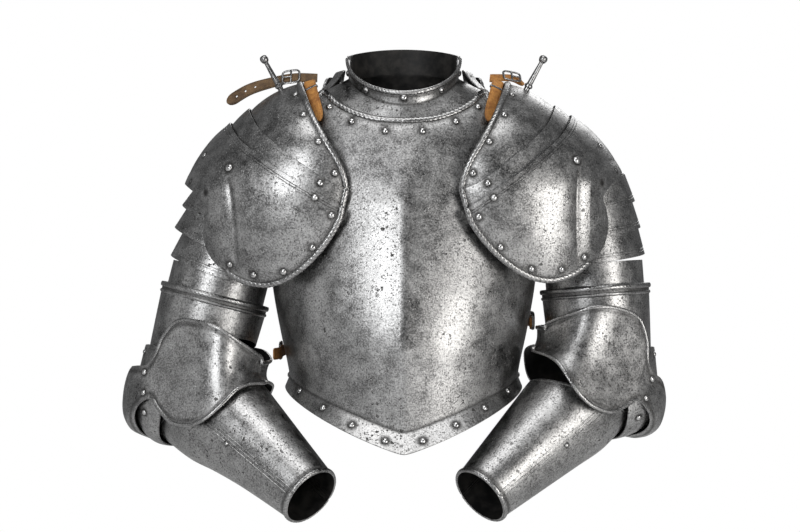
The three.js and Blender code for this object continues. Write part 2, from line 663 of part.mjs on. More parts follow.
function lameSkin(k, side) {
  const lean = radians(LAME_LEANS[side][k]);
  const up = new THREE.Vector3(-Math.sin(lean), 0, Math.cos(lean));
  const outward = new THREE.Vector3(Math.cos(lean), 0, Math.sin(lean));
  const back = new THREE.Vector3(0, 1, 0);
  const centre = new THREE.Vector3(LAME_CENTRES[side][k][0], LAME_CENTRE_Y, LAME_CENTRES[side][k][1]);
  return (u, v) => {
    const turn = radians(lerp(-LAME_HALF_ANGLE, LAME_HALF_ANGLE, u));
    const radius = lerp(LAME_TOP_RADIUS, LAME_EDGE_RADIUS, v);
    return centre
      .clone()
      .addScaledVector(up, LAME_LENGTH * (1 - v))
      .addScaledVector(outward, radius * Math.cos(turn))
      .addScaledVector(back, radius * Math.sin(turn));
  };
}

// A turn that lifts the outer end about a front-to-back line through pivot.
function liftedAbout([x, z], degrees) {
  const there = new THREE.Matrix4().makeTranslation(x, 0, z);
  const back = new THREE.Matrix4().makeTranslation(-x, 0, -z);
  return there.multiply(new THREE.Matrix4().makeRotationY(radians(-degrees))).multiply(back);
}

// Arm frame: x runs to the elbow's point, y to the bend's far side, z up the upper arm, origin in the elbow.
function armFrame(side) {
  const lean = radians(ARM_LEANS[side]);
  const forward = radians(ARM_FORWARD);
  const up = new THREE.Vector3(-Math.sin(lean), Math.sin(forward), Math.cos(lean)).normalize();
  const lateral = new THREE.Vector3(1, 0, 0);
  lateral.addScaledVector(up, -lateral.dot(up)).normalize();
  const back = up.clone().cross(lateral);
  const point = lateral.multiplyScalar(Math.cos(radians(ARM_TURN)));
  point.addScaledVector(back, Math.sin(radians(ARM_TURN)));
  const bend = up.clone().cross(point);
  const ring = new THREE.Vector3(...RING_CENTRES[side], RING_LEVELS[side]);
  const elbow = ring.clone().addScaledVector(up, -UPPER_ARM_LENGTH);
  return new THREE.Matrix4().makeBasis(point, bend, up).setPosition(elbow);
}

const bent = (degrees) => new THREE.Matrix4().makeRotationY(radians(degrees));

function sleeveSkin(u, v) {
  const turn = 2 * Math.PI * u;
  const steps = v * (SLEEVE_SHARES.length - 1);
  const k = clamp(Math.floor(steps), 0, SLEEVE_SHARES.length - 2);
  const share = lerp(SLEEVE_SHARES[k], SLEEVE_SHARES[k + 1], steps - k);
  const radius = SLEEVE_RADIUS + SLEEVE_BEAD * lerp(BEAD_SHARES[k], BEAD_SHARES[k + 1], steps - k);
  return new THREE.Vector3(
    radius * Math.cos(turn),
    radius * Math.sin(turn),
    lerp(UPPER_ARM_LENGTH - SLEEVE_DEPTH, UPPER_ARM_LENGTH + SLEEVE_LENGTH, share),
  );
}

function cannonSkin(u, v) {
  const turn = 2 * Math.PI * u;
  const inward = (1 - Math.cos(turn)) / 2;
  const end = lerp(CANNON_OUTER_LEVEL, CANNON_INNER_LEVEL, inward ** 0.8);
  const level = lerp(UPPER_ARM_LENGTH + ROPE_WIDTH / 2, end, v);
  const radius = lerp(CANNON_END_RADIUS, CANNON_TOP_RADIUS, clamp(level / UPPER_ARM_LENGTH, 0, 1) ** 0.7);
  return new THREE.Vector3(radius * Math.cos(turn), radius * Math.sin(turn), level);
}

function elbowLameSkin([low, high], share) {
  return (u, v) => {
    const sweep = radians(lerp(-ELBOW_LAME_SWEEP, ELBOW_LAME_SWEEP, u));
    const turn = radians(lerp(low, high, v));
    const radius = ELBOW_LAME_RADIUS * share * Math.cos(sweep) ** 0.75;
    const across = ELBOW_LAME_HALF_WIDTH * share * Math.sin(sweep);
    return new THREE.Vector3(radius * Math.cos(turn), across, radius * Math.sin(turn));
  };
}

// The couter round the elbow: share 0 and 1 of u meet inside the bend, a half is the elbow's point.
function couterAngle(u) {
  const away = Math.abs(2 * u - 1);
  const steps = COUTER_ANGLES.map((_, k) => k / (COUTER_ANGLES.length - 1));
  return Math.sign(2 * u - 1) * through(steps, COUTER_ANGLES, away);
}

function couterSkin(uAny, v) {
  const u = ((uAny % 1) + 1) % 1;
  const degrees = couterAngle(u);
  const turn = radians(degrees);
  const rear = degrees > 0;
  const outward = Math.cos(turn) > 0;
  const wing = (share) => (rear ? lerp(1, share, clamp(1 - Math.cos(turn), 0, 1)) : 1);
  const top = through(COUTER_ANGLES, COUTER_TOP_LEVELS, Math.abs(degrees)) * wing(REAR_TOP_SHARE);
  const bottom = through(COUTER_ANGLES, COUTER_BOTTOM_LEVELS, Math.abs(degrees)) * wing(REAR_BOTTOM_SHARE);
  const reach = outward ? COUTER_REACH : COUTER_INNER_REACH;
  const innerPower = rear ? COP_REAR_POWER : COP_INNER_POWER;
  const power = outward ? COP_OUTER_POWER : innerPower;
  const c = Math.abs(Math.cos(turn));
  const s = Math.abs(Math.sin(turn));
  const scale = (c ** power + s ** power) ** (-1 / power);
  const edge = (2 * v - 1) ** 2;
  const cop = outward ? c * COP_NARROWING * edge : 0;
  const band = outward ? 0 : c ** 4 * edge * (v > 0.5 ? BAND_TOP_FLARE : BAND_BOTTOM_FLARE);
  const groove = outward ? 0 : c * GROOVE_DEPTH * (1 - edge) ** 2;
  return new THREE.Vector3(
    Math.cos(turn) * (reach * scale * (1 - cop) + band),
    Math.sin(turn) * COUTER_HALF_WIDTH * scale - Math.sign(Math.sin(turn)) * groove * s,
    lerp(bottom, top, v),
  );
}

const couterRope = (u) => clamp((Math.abs(couterAngle(u)) - WING_START_ANGLE) / 6, 0, 1);

function forearmSkin(low, high) {
  return (u, v) => {
    const turn = radians(lerp(low, high, u));
    const inward = (1 - Math.cos(turn)) / 2;
    const start = lerp(FOREARM_OUTER_START, FOREARM_INNER_START, inward ** 0.8);
    const level = lerp(start, FOREARM_LENGTH, v);
    const radius = through(FOREARM_LEVELS, FOREARM_RADII, level);
    return new THREE.Vector3(radius * Math.cos(turn), radius * Math.sin(turn), -level);
  };
}

// Assembly

const group = new THREE.Group();

function addNode(name, geometry, material) {
  const mesh = new THREE.Mesh(geometry, material.clone());
  mesh.name = name;
  group.add(mesh);
}

// Mirrors a left-hand piece to the wearer's right.
function sided(geometry, side) {
  if (side === 0) return geometry;
  const mirrored = geometry.clone().scale(-1, 1, 1);
  const index = mirrored.index.array;
  for (let i = 0; i < index.length; i += 3) [index[i + 1], index[i + 2]] = [index[i + 2], index[i + 1]];
  return mirrored;
}

const ORIGIN = new THREE.Vector3();

addNode("breastplate", breastplate(), STEEL);
addNode("backplate", backplate(), STEEL);
addNode("gorget_front", gorgetHalf(true), STEEL);
addNode("gorget_rear", gorgetHalf(false), STEEL);

// Shoulder and waist fittings

// A flat band along a line of points, with its upper face looking along faces.
function band(points, faces, width, thickness, steps) {
  const middle = (s) => new THREE.Vector3(...along(points, s));
  const outer = [];
  const inner = [];
  for (let k = 0; k <= steps; k += 1) {
    const { centre, face, side } = bandFrame(middle, faces, k / steps);
    const edges = [-width / 2, width / 2].map((reach) => centre.clone().addScaledVector(side, reach));
    inner.push(edges);
    outer.push(edges.map((p) => p.clone().addScaledVector(face, thickness)));
  }
  return skinOf(outer, inner, false, true);
}

function bandFrame(middle, faces, share) {
  const step = 1e-2;
  const run = middle(Math.min(share + step, 1)).sub(middle(Math.max(share - step, 0))).normalize();
  const wanted = new THREE.Vector3(...along(faces, share));
  const face = wanted.addScaledVector(run, -wanted.dot(run)).normalize();
  return { centre: middle(share), run, face, side: face.clone().cross(run) };
}

// A buckle lying on a band: a frame whose opening is crossed by its tongue.
function buckle(points, faces, share, lift) {
  const { centre, run, face, side } = bandFrame((s) => new THREE.Vector3(...along(points, s)), faces, share);
  const half = [BUCKLE_LENGTH / 2, BUCKLE_WIDTH / 2];
  const box = (x0, y0, x1, y1, path) => {
    path.moveTo(x0, y0);
    [[x1, y0], [x1, y1], [x0, y1], [x0, y0]].forEach(([x, y]) => path.lineTo(x, y));
    return path;
  };
  const shape = box(-half[0], -half[1], half[0], half[1], new THREE.Shape());
  [-1, 1].forEach((k) => {
    const ends = [(k * BUCKLE_BAR) / 2, k * (half[1] - BUCKLE_BAR)];
    shape.holes.push(box(BUCKLE_BAR - half[0], ends[0], half[0] - BUCKLE_BAR, ends[1], new THREE.Path()));
  });
  const frame = new THREE.ExtrudeGeometry(shape, { depth: BUCKLE_THICKNESS, bevelEnabled: false });
  const place = new THREE.Matrix4().makeBasis(run, side, face);
  place.setPosition(centre.addScaledVector(face, lift));
  return geometryOf(solidOf(frame.applyMatrix4(place)));
}

// The shares across the front half of the gorget.
const frontGorgetSkin = (u, v) => gorgetSkin(radians(lerp(-GORGET_SPAN_ANGLE, GORGET_SPAN_ANGLE, u)), v, 0);

// The pin on the shoulder, and the hole that it needs in what lies over it.
function shoulderPin() {
  const direction = new THREE.Vector3(...PIN_DIRECTION).normalize();
  const base = frontGorgetSkin(...PIN_SHARES).addScaledVector(direction, PIN_STAND);
  const [, high] = PIN_PROFILE[PIN_PROFILE.length - 1];
  const room = [[0, 0], [PIN_HOLE_RADIUS, 0], [PIN_HOLE_RADIUS, high], [0, high]];
  const shape = (profile) => turned(profile, base, direction, PIN_SIDES);
  return { pin: geometryOf(shape(PIN_PROFILE)), room: shape(room) };
}

function gorgetStud() {
  const [u, v] = GORGET_STUD_SHARES;
  const step = 1e-3;
  const across = frontGorgetSkin(u + step, v).sub(frontGorgetSkin(u - step, v));
  const down = frontGorgetSkin(u, v + step).sub(frontGorgetSkin(u, v - step));
  const normal = across.cross(down).normalize();
  if (normal.z < 0) normal.negate();
  const base = frontGorgetSkin(u, v).addScaledVector(normal, CLEARANCE);
  return geometryOf(turned(STUD_PROFILE, base, normal, PIN_SIDES));
}

function addFittings(add, side) {
  const lift = BAND_THICKNESS + CLEARANCE;
  const level = TORSO_TOP - WAIST_LEVEL_SHARES[side] * TORSO_HEIGHT;
  const waist = WAIST_PLACES[side].map(([share, y]) => [share * TORSO_HALF_WIDTH, y, level]);
  add("shoulder_pin", shoulderPin().pin, BRIGHT_STEEL);
  const tongue = TONGUE_POINTS.map(([x, share, z]) => [x, share * CHEST_DEPTH, z]);
  add("pauldron_tongue", band(tongue, TONGUE_FACES, TONGUE_WIDTH, BAND_THICKNESS, 8), LEATHER);
  const leather = side === 0 ? LEATHER : DARK_LEATHER;
  const strap = [STRAP_POINTS[side], STRAP_FACES[side]];
  add("shoulder_strap", band(...strap, STRAP_WIDTH, BAND_THICKNESS, 12), leather);
  add("shoulder_buckle", buckle(...strap, BUCKLE_SHARES[side], lift), BRIGHT_STEEL);
  add("shoulder_strip", band(STRIP_POINTS, STRIP_FACES, STRIP_WIDTH, STRIP_THICKNESS, 12));
  add("waist_strap", band(waist, WAIST_FACES, WAIST_WIDTH, BAND_THICKNESS, 12), LEATHER);
  add("waist_buckle", buckle(waist, WAIST_FACES, WAIST_BUCKLE_SHARES[side], lift), BRIGHT_STEEL);
  add(side === 0 ? "gorget_latch_stud" : "gorget_pivot_rivet", gorgetStud(), BRIGHT_STEEL);
}

// Lower cannons

// The hinge line on the far side of the forearm, from its elbow end to its wrist end.
function hingeLine() {
  const stand = (level) => through(FOREARM_LEVELS, FOREARM_RADII, level) + KNUCKLE_STAND;
  const at = (level) => new THREE.Vector3(0, stand(level), -level);
  const start = at(HINGE_LEVELS[0]);
  return { start, direction: at(HINGE_LEVELS[1]).sub(start).normalize() };
}

function knuckle(height, length, radius, bore) {
  const { start, direction } = hingeLine();
  const base = start.clone().addScaledVector(direction, height);
  const profile = [[bore, 0], [radius, 0], [radius, length], [bore, length], [bore, 0]];
  return turned(profile, base, direction, HINGE_SIDES);
}

// Both halves of the lower cannon with their knuckles: the outer half has the two outer ones of each hinge.
function lowerCannonHalves() {
  const gap = FOREARM_SEAM_GAP;
  const inside = new THREE.Vector3(0, 0, -FOREARM_LENGTH / 2);
  const outerSkin = forearmSkin(gap - QUARTER_TURN, QUARTER_TURN - gap);
  const innerSkin = forearmSkin(QUARTER_TURN + gap, 3 * QUARTER_TURN - gap);
  const bare = (skin) => plate(skin, { across: 8, down: 3, inside, roped: { v1: true } });
  let outer = solidOf(withRivets(bare(outerSkin), outerSkin, STUD_SHARES, inside, STUD_SCALE_SHARE));
  let inner = solidOf(bare(innerSkin));
  const pitch = KNUCKLE_LENGTH + CLEARANCE;
  const places = hingeHeights().flatMap((height) => [-1, 0, 1].map((k) => [height + k * pitch, k]));
  places.forEach(([height, k]) => {
    const start = height - KNUCKLE_LENGTH / 2;
    const ring = knuckle(start, KNUCKLE_LENGTH, KNUCKLE_RADIUS, KNUCKLE_BORE);
    const room = knuckle(start - CLEARANCE, KNUCKLE_LENGTH + 2 * CLEARANCE, KNUCKLE_RADIUS + CLEARANCE, 0);
    const bore = knuckle(start - CLEARANCE, KNUCKLE_LENGTH + 2 * CLEARANCE, KNUCKLE_BORE, 0);
    if (k === 0) {
      inner = inner.subtract(bore).add(ring);
      outer = outer.subtract(room);
    } else {
      outer = outer.subtract(bore).add(ring);
      inner = inner.subtract(room);
    }
  });
  return { outer: geometryOf(outer), inner: geometryOf(inner) };
}

const hingeHeights = () => [KNUCKLE_LENGTH * 1.5, HINGE_LEVELS[1] - HINGE_LEVELS[0] - KNUCKLE_LENGTH * 1.5];

function hingePin(height) {
  const { start, direction } = hingeLine();
  const reach = KNUCKLE_LENGTH * 1.5 + 2 * CLEARANCE;
  const base = start.clone().addScaledVector(direction, height - reach);
  const head = HINGE_PIN_RADIUS + 2 * CLEARANCE;
  const r = HINGE_PIN_RADIUS;
  const low = [[0, -r], [head, -r], [head, 0], [r, 0]];
  const high = [[r, 2 * reach], [head, 2 * reach], [head, 2 * reach + r], [0, 2 * reach + r]];
  const profile = [...low, ...high];
  return geometryOf(turned(profile, base, direction, HINGE_SIDES));
}

function addPauldron(add, side) {
  const inside = new THREE.Vector3(MAIN_PIVOT[0], 0, MAIN_PIVOT[1]);
  const second = liftedAbout(TOP_PIVOT, PAULDRON_LIFTS[side] / 2);
  const main = second.clone().multiply(liftedAbout(MAIN_PIVOT, PAULDRON_LIFTS[side] / 2));
  const front = [0, 1, 0, 0.5];
  const riveted = (skin, options, places, rearCount, shank) => {
    const shares = places.map((place) => placeOn(skin, place, front));
    shares.slice(0, rearCount).forEach((share) => share.push(shank));
    const rear = shares.slice(0, rearCount).map(([u, v]) => [u, 1 - v, shank]);
    return withRivets(plate(skin, { ...options, inside }), skin, [...shares, ...rear], inside);
  };
  const top = solidOf(riveted(topSkin, { across: 4, down: 14, roped: { u0: true } }, TOP_RIVETS, 0));
  add("pauldron_top_lame", geometryOf(top.subtract(shoulderPin().room)));
  const ends = { v0: true, v1: true };
  add(
    "pauldron_second_lame",
    riveted(secondSkin, { across: 4, down: 12, roped: ends }, SECOND_RIVETS, 1, SECOND_SHANK)
      .applyMatrix4(second),
  );
  const plain = riveted(mainSkin, { across: 10, down: 12, roped: ends }, MAIN_RIVETS, 1, MAIN_SHANK);
  const lameRivet = placeOn(mainSkin, LAME_RIVET, front);
  const lameRivets = [[...lameRivet, LAME_SHANK], [lameRivet[0], 1 - lameRivet[1], LAME_SHANK]];
  add("pauldron_main_plate", withRivets(plain, mainSkin, lameRivets, inside).applyMatrix4(main));
  [0, 1, 2].forEach((k) => {
    const [x, z] = LAME_CENTRES[side][k];
    const centre = new THREE.Vector3(x, 0, z);
    add("pauldron_lower_lame_" + (k + 1), plate(lameSkin(k, side), { across: 12, down: 2, inside: centre }));
  });
}

function addArm(add, side) {
  const arm = armFrame(side);
  const inArm = (geometry, degrees = 0) => geometry.applyMatrix4(bent(degrees)).applyMatrix4(arm);
  const bend = ELBOW_BENDS[side];
  const armAxis = new THREE.Vector3(0, 0, UPPER_ARM_LENGTH / 2);
  const round = { across: 18, down: 3, closed: true, inside: armAxis };
  add("upper_cannon_sleeve", inArm(plate(sleeveSkin, round)));
  add("upper_cannon", inArm(plate(cannonSkin, { ...round, roped: { v0: true } })));
  const lame = (angles, share) => [elbowLameSkin(angles, share), { across: 10, down: 2, inside: ORIGIN }];
  const [upperSkin, upperOptions] = lame(UPPER_LAME_ANGLES, 1);
  const upper = withRivets(plate(upperSkin, upperOptions), upperSkin, UPPER_LAME_RIVETS, ORIGIN);
  add("elbow_upper_lame", inArm(upper, UPPER_LAME_SHARE * bend));
  const couter = plate(couterSkin, {
    across: 28,
    down: 3,
    closed: true,
    inside: ORIGIN,
    roped: { v0: true, v1: true },
    fade: couterRope,
  });
  add("couter", inArm(withRivets(couter, couterSkin, COUTER_RIVET_SHARES, ORIGIN), COUTER_RESTS[side]));
  const [lowerSkin, options] = lame(LOWER_LAME_ANGLES, LOWER_LAME_RADIUS_SHARE);
  const lower = withRivets(plate(lowerSkin, options), lowerSkin, LOWER_LAME_RIVETS, ORIGIN);
  add("elbow_lower_lame", inArm(lower, LOWER_LAME_SHARE * bend));
  const { outer, inner } = lowerCannonHalves();
  add("lower_cannon_outer", inArm(outer, bend));
  add("lower_cannon_inner", inArm(inner, bend));
  hingeHeights().forEach((height, k) => add("vambrace_hinge_pin_" + (k + 1), inArm(hingePin(height), bend)));
}

["left", "right"].forEach((name, side) => {
  const add = (part, geometry, material = STEEL) => {
    addNode(name + "_" + part, sided(geometry, side), material);
  };
  addPauldron(add, side);
  addFittings(add, side);
  addArm(add, side);
});

export default group;
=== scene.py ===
"""Half armour in steel with leather straps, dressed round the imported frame."""

import json
import logging
import math
from dataclasses import dataclass, field
from enum import Enum
from typing import Callable, Sequence

import bpy
import numpy as np
from mathutils import Matrix, Vector, kdtree

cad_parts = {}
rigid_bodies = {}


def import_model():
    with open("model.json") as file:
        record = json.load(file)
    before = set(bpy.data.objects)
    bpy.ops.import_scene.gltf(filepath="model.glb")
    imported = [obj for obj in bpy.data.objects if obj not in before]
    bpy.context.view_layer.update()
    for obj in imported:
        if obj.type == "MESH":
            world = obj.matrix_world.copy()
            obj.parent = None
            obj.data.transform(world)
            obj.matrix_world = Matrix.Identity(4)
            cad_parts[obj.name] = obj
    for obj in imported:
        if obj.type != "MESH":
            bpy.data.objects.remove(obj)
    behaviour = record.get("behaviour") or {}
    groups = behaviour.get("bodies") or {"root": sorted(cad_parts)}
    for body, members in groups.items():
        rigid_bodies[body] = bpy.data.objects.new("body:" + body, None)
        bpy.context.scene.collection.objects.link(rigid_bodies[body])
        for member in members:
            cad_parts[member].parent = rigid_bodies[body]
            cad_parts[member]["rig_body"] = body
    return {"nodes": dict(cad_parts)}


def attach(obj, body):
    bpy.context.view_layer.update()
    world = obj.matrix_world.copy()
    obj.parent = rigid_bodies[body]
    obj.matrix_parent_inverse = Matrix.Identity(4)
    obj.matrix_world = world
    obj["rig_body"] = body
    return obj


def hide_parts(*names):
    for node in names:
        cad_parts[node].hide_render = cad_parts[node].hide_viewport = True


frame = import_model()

LOG = logging.getLogger("half_armour")
SHADE = "shade"

# A millimetre in metres, and the step in shares that slopes are measured over
MM = 0.001
STEP = 1e-3

# Sizes in mm
PLATE = 1.6
LEATHER = 2.4
CLEARANCE = 0.4
BEVEL = 0.3
PIN_HOLE = 4.3
PIN_LIFT = 1.5
RIVET_RADIUS = 4.2
RIVET_HEIGHT = 3.0
ROPE_WIDTH = 7.5
ROPE_HEIGHT = 2.8
ROPE_PITCH = 6.0
ROPE_STEP = 0.75
ROPE_END = 2.5

# A rope's corners round it, and its grooves' depth share, slant and sharpness
ROPE_POINTS = 19
ROPE_CUT = 0.26
ROPE_SLANT = 1.5
ROPE_SHARPNESS = 0.4

# How strong the painted shade beside ropes and along grooves is, and how far it reaches in mm
ROPE_SHADE = (0.75, 3.4)
GROOVE_SHADE = (0.8, 2.4)

# How far the painted shade round a rivet reaches, as a share of its radius
RIVET_SHADE = 2.1

# Where a shoulder pin stands on the gorget's front half, and where it points
PIN_PLACE = (0.955, 0.12)
PIN_DIRECTION = (28.0, 0, 51)

# Points along a border and a groove, and how many corners are measured at once
BORDER_POINTS = 1400
GROOVE_POINTS = 400
CHUNK = 4000

# A search for a place on a skin: rounds, points a side, and how much each round narrows it
SEARCH_ROUNDS = 5
SEARCH_POINTS = 33
SEARCH_SHARE = 12

Array = np.ndarray
Amount = float | Array
Skin = Callable[[Array, Array], Array]
Fade = Callable[[Array, Array], Array]
Obj = bpy.types.Object
Pair = tuple[float, float]
Triple = tuple[float, float, float]
Colour = tuple[float, float, float, float]
Floats = tuple[float, ...]
Pairs = tuple[Pair, ...]


class Side(Enum):
    """The wearer's side, with its index in the tables and its sign along X."""

    LEFT = (0, 1.0)
    RIGHT = (1, -1.0)

    @property
    def index(self) -> int:
        """The side's place in the tables of sizes."""
        return self.value[0]

    @property
    def sign(self) -> float:
        """Plus one for the wearer's left, minus one for the right."""
        return self.value[1]

    @property
    def word(self) -> str:
        """The side's name as the nodes spell it."""
        return self.name.lower()


class Slot(Enum):
    """The record's material slots."""

    STEEL = "steel"
    BRIGHT = "bright_steel"
    ORANGE = "orange_leather"
    BROWN = "brown_leather"


# Shapes as functions of shares


def lerp(a: Amount, b: Amount, t: Amount) -> Amount:
    """The value a share t of the way from a to b."""
    return a + (b - a) * t


def signed_power(value: Array, power: float) -> Array:
    """The power of a value's size, with its sign kept."""
    return np.sign(value) * np.abs(value) ** power


def through(knots: Sequence[float], values: Sequence[float], at: Array) -> Array:
    """A smooth line through values at uneven knots.

    Args:
        knots: Where the values stand.
        values: The values.
        at: Where the line is wanted.

    Returns:
        The line's value at each place.
    """
    x = np.asarray(knots, float)
    y = np.asarray(values, float)
    at = np.asarray(at, float)
    last = len(x) - 1
    low = np.maximum(np.arange(last + 1) - 1, 0)
    high = np.minimum(np.arange(last + 1) + 1, last)
    slope = (y[high] - y[low]) / (x[high] - x[low])
    i = np.clip(np.searchsorted(x, at, side="left") - 1, 0, last - 1)
    width = x[i + 1] - x[i]
    t = np.clip((at - x[i]) / width, 0, 1)
    t2 = t * t
    t3 = t2 * t
    return (
        (2 * t3 - 3 * t2 + 1) * y[i]
        + (t3 - 2 * t2 + t) * width * slope[i]
        + (3 * t2 - 2 * t3) * y[i + 1]
        + (t3 - t2) * width * slope[i + 1]
    )


def along(points: Sequence[Sequence[float]], share: Array) -> Array:
    """A smooth line through evenly paced points.

    Args:
        points: The points, each a row of coordinates.
        share: Shares of the way along.

    Returns:
        The coordinates at each share, in the last axis.
    """
    rows = np.asarray(points, float)
    knots = np.linspace(0, 1, len(rows))
    at = np.clip(share, 0, 1)
    return np.stack([through(knots, rows[:, k], at) for k in range(rows.shape[1])], -1)


def unit(vectors: Array) -> Array:
    """The vectors at length one."""
    size = np.linalg.norm(vectors, axis=-1, keepdims=True)
    return vectors / np.maximum(size, 1e-12)


def mirrored(values: Array, sign: float) -> Array:
    """Points or directions, with their x turned over where the sign is minus one."""
    return values * np.array([sign, 1, 1])


def upright(skin: Skin, u: Array, v: Array) -> Array:
    """A direction that stands on a skin at shares u and v."""
    across = skin(u + STEP, v) - skin(u - STEP, v)
    down = skin(u, v + STEP) - skin(u, v - STEP)
    return np.cross(across, down)


def faded_ends(rate: float, start: float) -> Fade:
    """A rope's size along u that fades out towards both ends."""
    return lambda u, v: np.clip(np.minimum(u, 1 - u) * rate - start, 0, 1)


@dataclass
class Rows:
    """The rows of a plate in one direction.

    Attributes:
        counts: Rows between two stops.
        start: Distances of the first rows from the low border, in mm.
        end: Distances of the last rows from the high border, in mm.
        stops: Shares at which a row has to lie, after the start.
        start_rise: How far each start row stands off the skin, in mm.
        end_rise: How far each end row stands off the skin, in mm.
    """

    counts: tuple[int, ...]
    start: Floats = (0.0,)
    end: Floats = (0.0,)
    stops: Floats = ()
    start_rise: Floats = ()
    end_rise: Floats = ()

    @property
    def total(self) -> int:
        """How many rows there are."""
        return len(self.start) + sum(self.counts) - 1 + len(self.end)

    def shares(self, low_pace: Array, high_pace: Array, span: float) -> Array:
        """Where each row lies.

        Args:
            low_pace: Millimetres a share at the low border, one for each crossing line.
            high_pace: The same at the high border.
            span: The highest share.

        Returns:
            The shares, rows by crossing lines.
        """
        low = np.array(self.start)[:, None] / low_pace
        high = span - np.array(self.end)[::-1, None] / high_pace
        edges = [low[-1], *[np.full_like(low[-1], s) for s in self.stops], high[0]]
        inner = [
            lerp(a[None], b[None], (np.arange(1, n + 1) / n)[:, None])
            for a, b, n in zip(edges[:-1], edges[1:], self.counts)
        ]
        return np.concatenate([low, np.concatenate(inner)[:-1], high])

    def rises(self) -> Array:
        """How far each row stands off the skin, in mm."""
        out = np.zeros(self.total)
        out[: len(self.start_rise)] = self.start_rise
        if self.end_rise:
            out[-len(self.end_rise) :] = self.end_rise[::-1]
        return out


# Rows beside a roped border, and beside a border with two incised lines, in mm
ROPED = (0, 2.5, 5, 7.5, 9)
EDGE_LINES = (0.0, 3.0, 5.2, 5.9, 6.6, 8.4, 9.1, 9.8, 12.0)
EDGE_LINE_RISES = (0.0, 0.0, 0.0, -0.75, 0.0, 0.0, -0.75, 0.0, 0.0)


@dataclass
class Plate:
    """A curved plate of even thickness on a skin.

    Attributes:
        skin: Gives a point in mm for shares u and v.
        across: The rows along u.
        down: The rows along v.
        inside: A point behind the plate, in mm.
        span: The highest share v.
        closed: Whether the plate goes all the way round.
        sign: Minus one for a piece on the wearer's right.
        relief: Adds height in mm at points of the skin.
        place: A turn and shift in mm that puts the plate in its place.
    """

    skin: Skin
    across: Rows
    down: Rows
    inside: Triple
    span: float = 1.0
    closed: bool = False
    sign: float = 1.0
    relief: Callable[[Array, Array, Array], Array] | None = None
    place: Matrix | None = None

    def _pace(self, u0: Array, v0: Array, u1: Array, v1: Array) -> Array:
        """Millimetres a share between two nearby places."""
        gap = self.skin(u0, v0) - self.skin(u1, v1)
        return np.maximum(np.linalg.norm(gap, axis=-1) / STEP, 1.0)

    def shares(self) -> tuple[Array, Array]:
        """The shares u and v of each corner of the plate's grid."""
        guess = np.linspace(0, self.span, self.down.total)
        zero, one = np.zeros_like(guess), np.ones_like(guess)
        low = self._pace(zero, guess, zero + STEP, guess)
        high = self._pace(one, guess, one - STEP, guess)
        u = self.across.shares(low, high, 1.0)
        edge_u = u[:, 0]
        low = self._pace(edge_u, 0 * edge_u, edge_u, 0 * edge_u + STEP)
        edge_u = u[:, -1]
        top = 0 * edge_u + self.span
        high = self._pace(edge_u, top, edge_u, top - STEP)
        return u, self.down.shares(low, high, self.span).T

    def normals(self, u: Array, v: Array) -> Array:
        """The outward directions of the skin at shares u and v."""
        low_u, high_u = u - STEP, u + STEP
        if not self.closed:
            low_u, high_u = np.maximum(low_u, 0), np.minimum(high_u, 1)
        low_v, high_v = np.maximum(v - STEP, 0), np.minimum(v + STEP, self.span)
        du = self.skin(high_u, v) - self.skin(low_u, v)
        dv = self.skin(u, high_v) - self.skin(u, low_v)
        found = unit(np.cross(du, dv))
        if found.ndim > 2:
            i, j = found.shape[0] // 2, found.shape[1] // 2
            middle, point = found[i, j], self.skin(u[i, j : j + 1], v[i, j : j + 1])[0]
        else:
            half = np.array([0.5]), np.array([0.5 * self.span])
            middle, point = upright(self.skin, *half)[0], self.skin(*half)[0]
        return found if np.dot(middle, point - np.array(self.inside)) > 0 else -found

    def placed(self, points: Array) -> Array:
        """Points of the skin put in their place, mirrored for the right side, in metres."""
        out = points
        if self.place is not None:
            turn = np.array(self.place)
            out = out @ turn[:3, :3].T + turn[:3, 3]
        return mirrored(out, self.sign) * MM

    def turned(self, vectors: Array) -> Array:
        """Directions turned as the plate is."""
        out = vectors
        if self.place is not None:
            out = out @ np.array(self.place)[:3, :3].T
        return mirrored(out, self.sign)

    def spot(self, u: float, v: float) -> tuple[Array, Array]:
        """The point in metres and the outward direction at one place."""
        at = np.array([u]), np.array([v])
        return self.placed(self.skin(*at))[0], self.turned(self.normals(*at))[0]

    def border(self, which: str, inset: float) -> tuple[Array, Array, Array, Array]:
        """A line along a border.

        Args:
            which: u0, u1, v0 or v1.
            inset: How far inside the border it runs, in mm.

        Returns:
            Points, outward directions and the shares u and v.
        """
        along_v, far = which[0] == "u", which[1] == "1"
        run = np.linspace(0, self.span if along_v else 1, BORDER_POINTS)
        edge = np.full(BORDER_POINTS, (1.0 if along_v else self.span) if far else 0.0)
        towards = -1.0 if far else 1.0
        if along_v:
            pace = self._pace(edge, run, edge + towards * STEP, run)
            u, v = edge + towards * inset / pace, run
        else:
            pace = self._pace(run, edge, run, edge + towards * STEP)
            u, v = run, edge + towards * inset / pace
        return self.placed(self.skin(u, v)), self.turned(self.normals(u, v)), u, v


# Making meshes


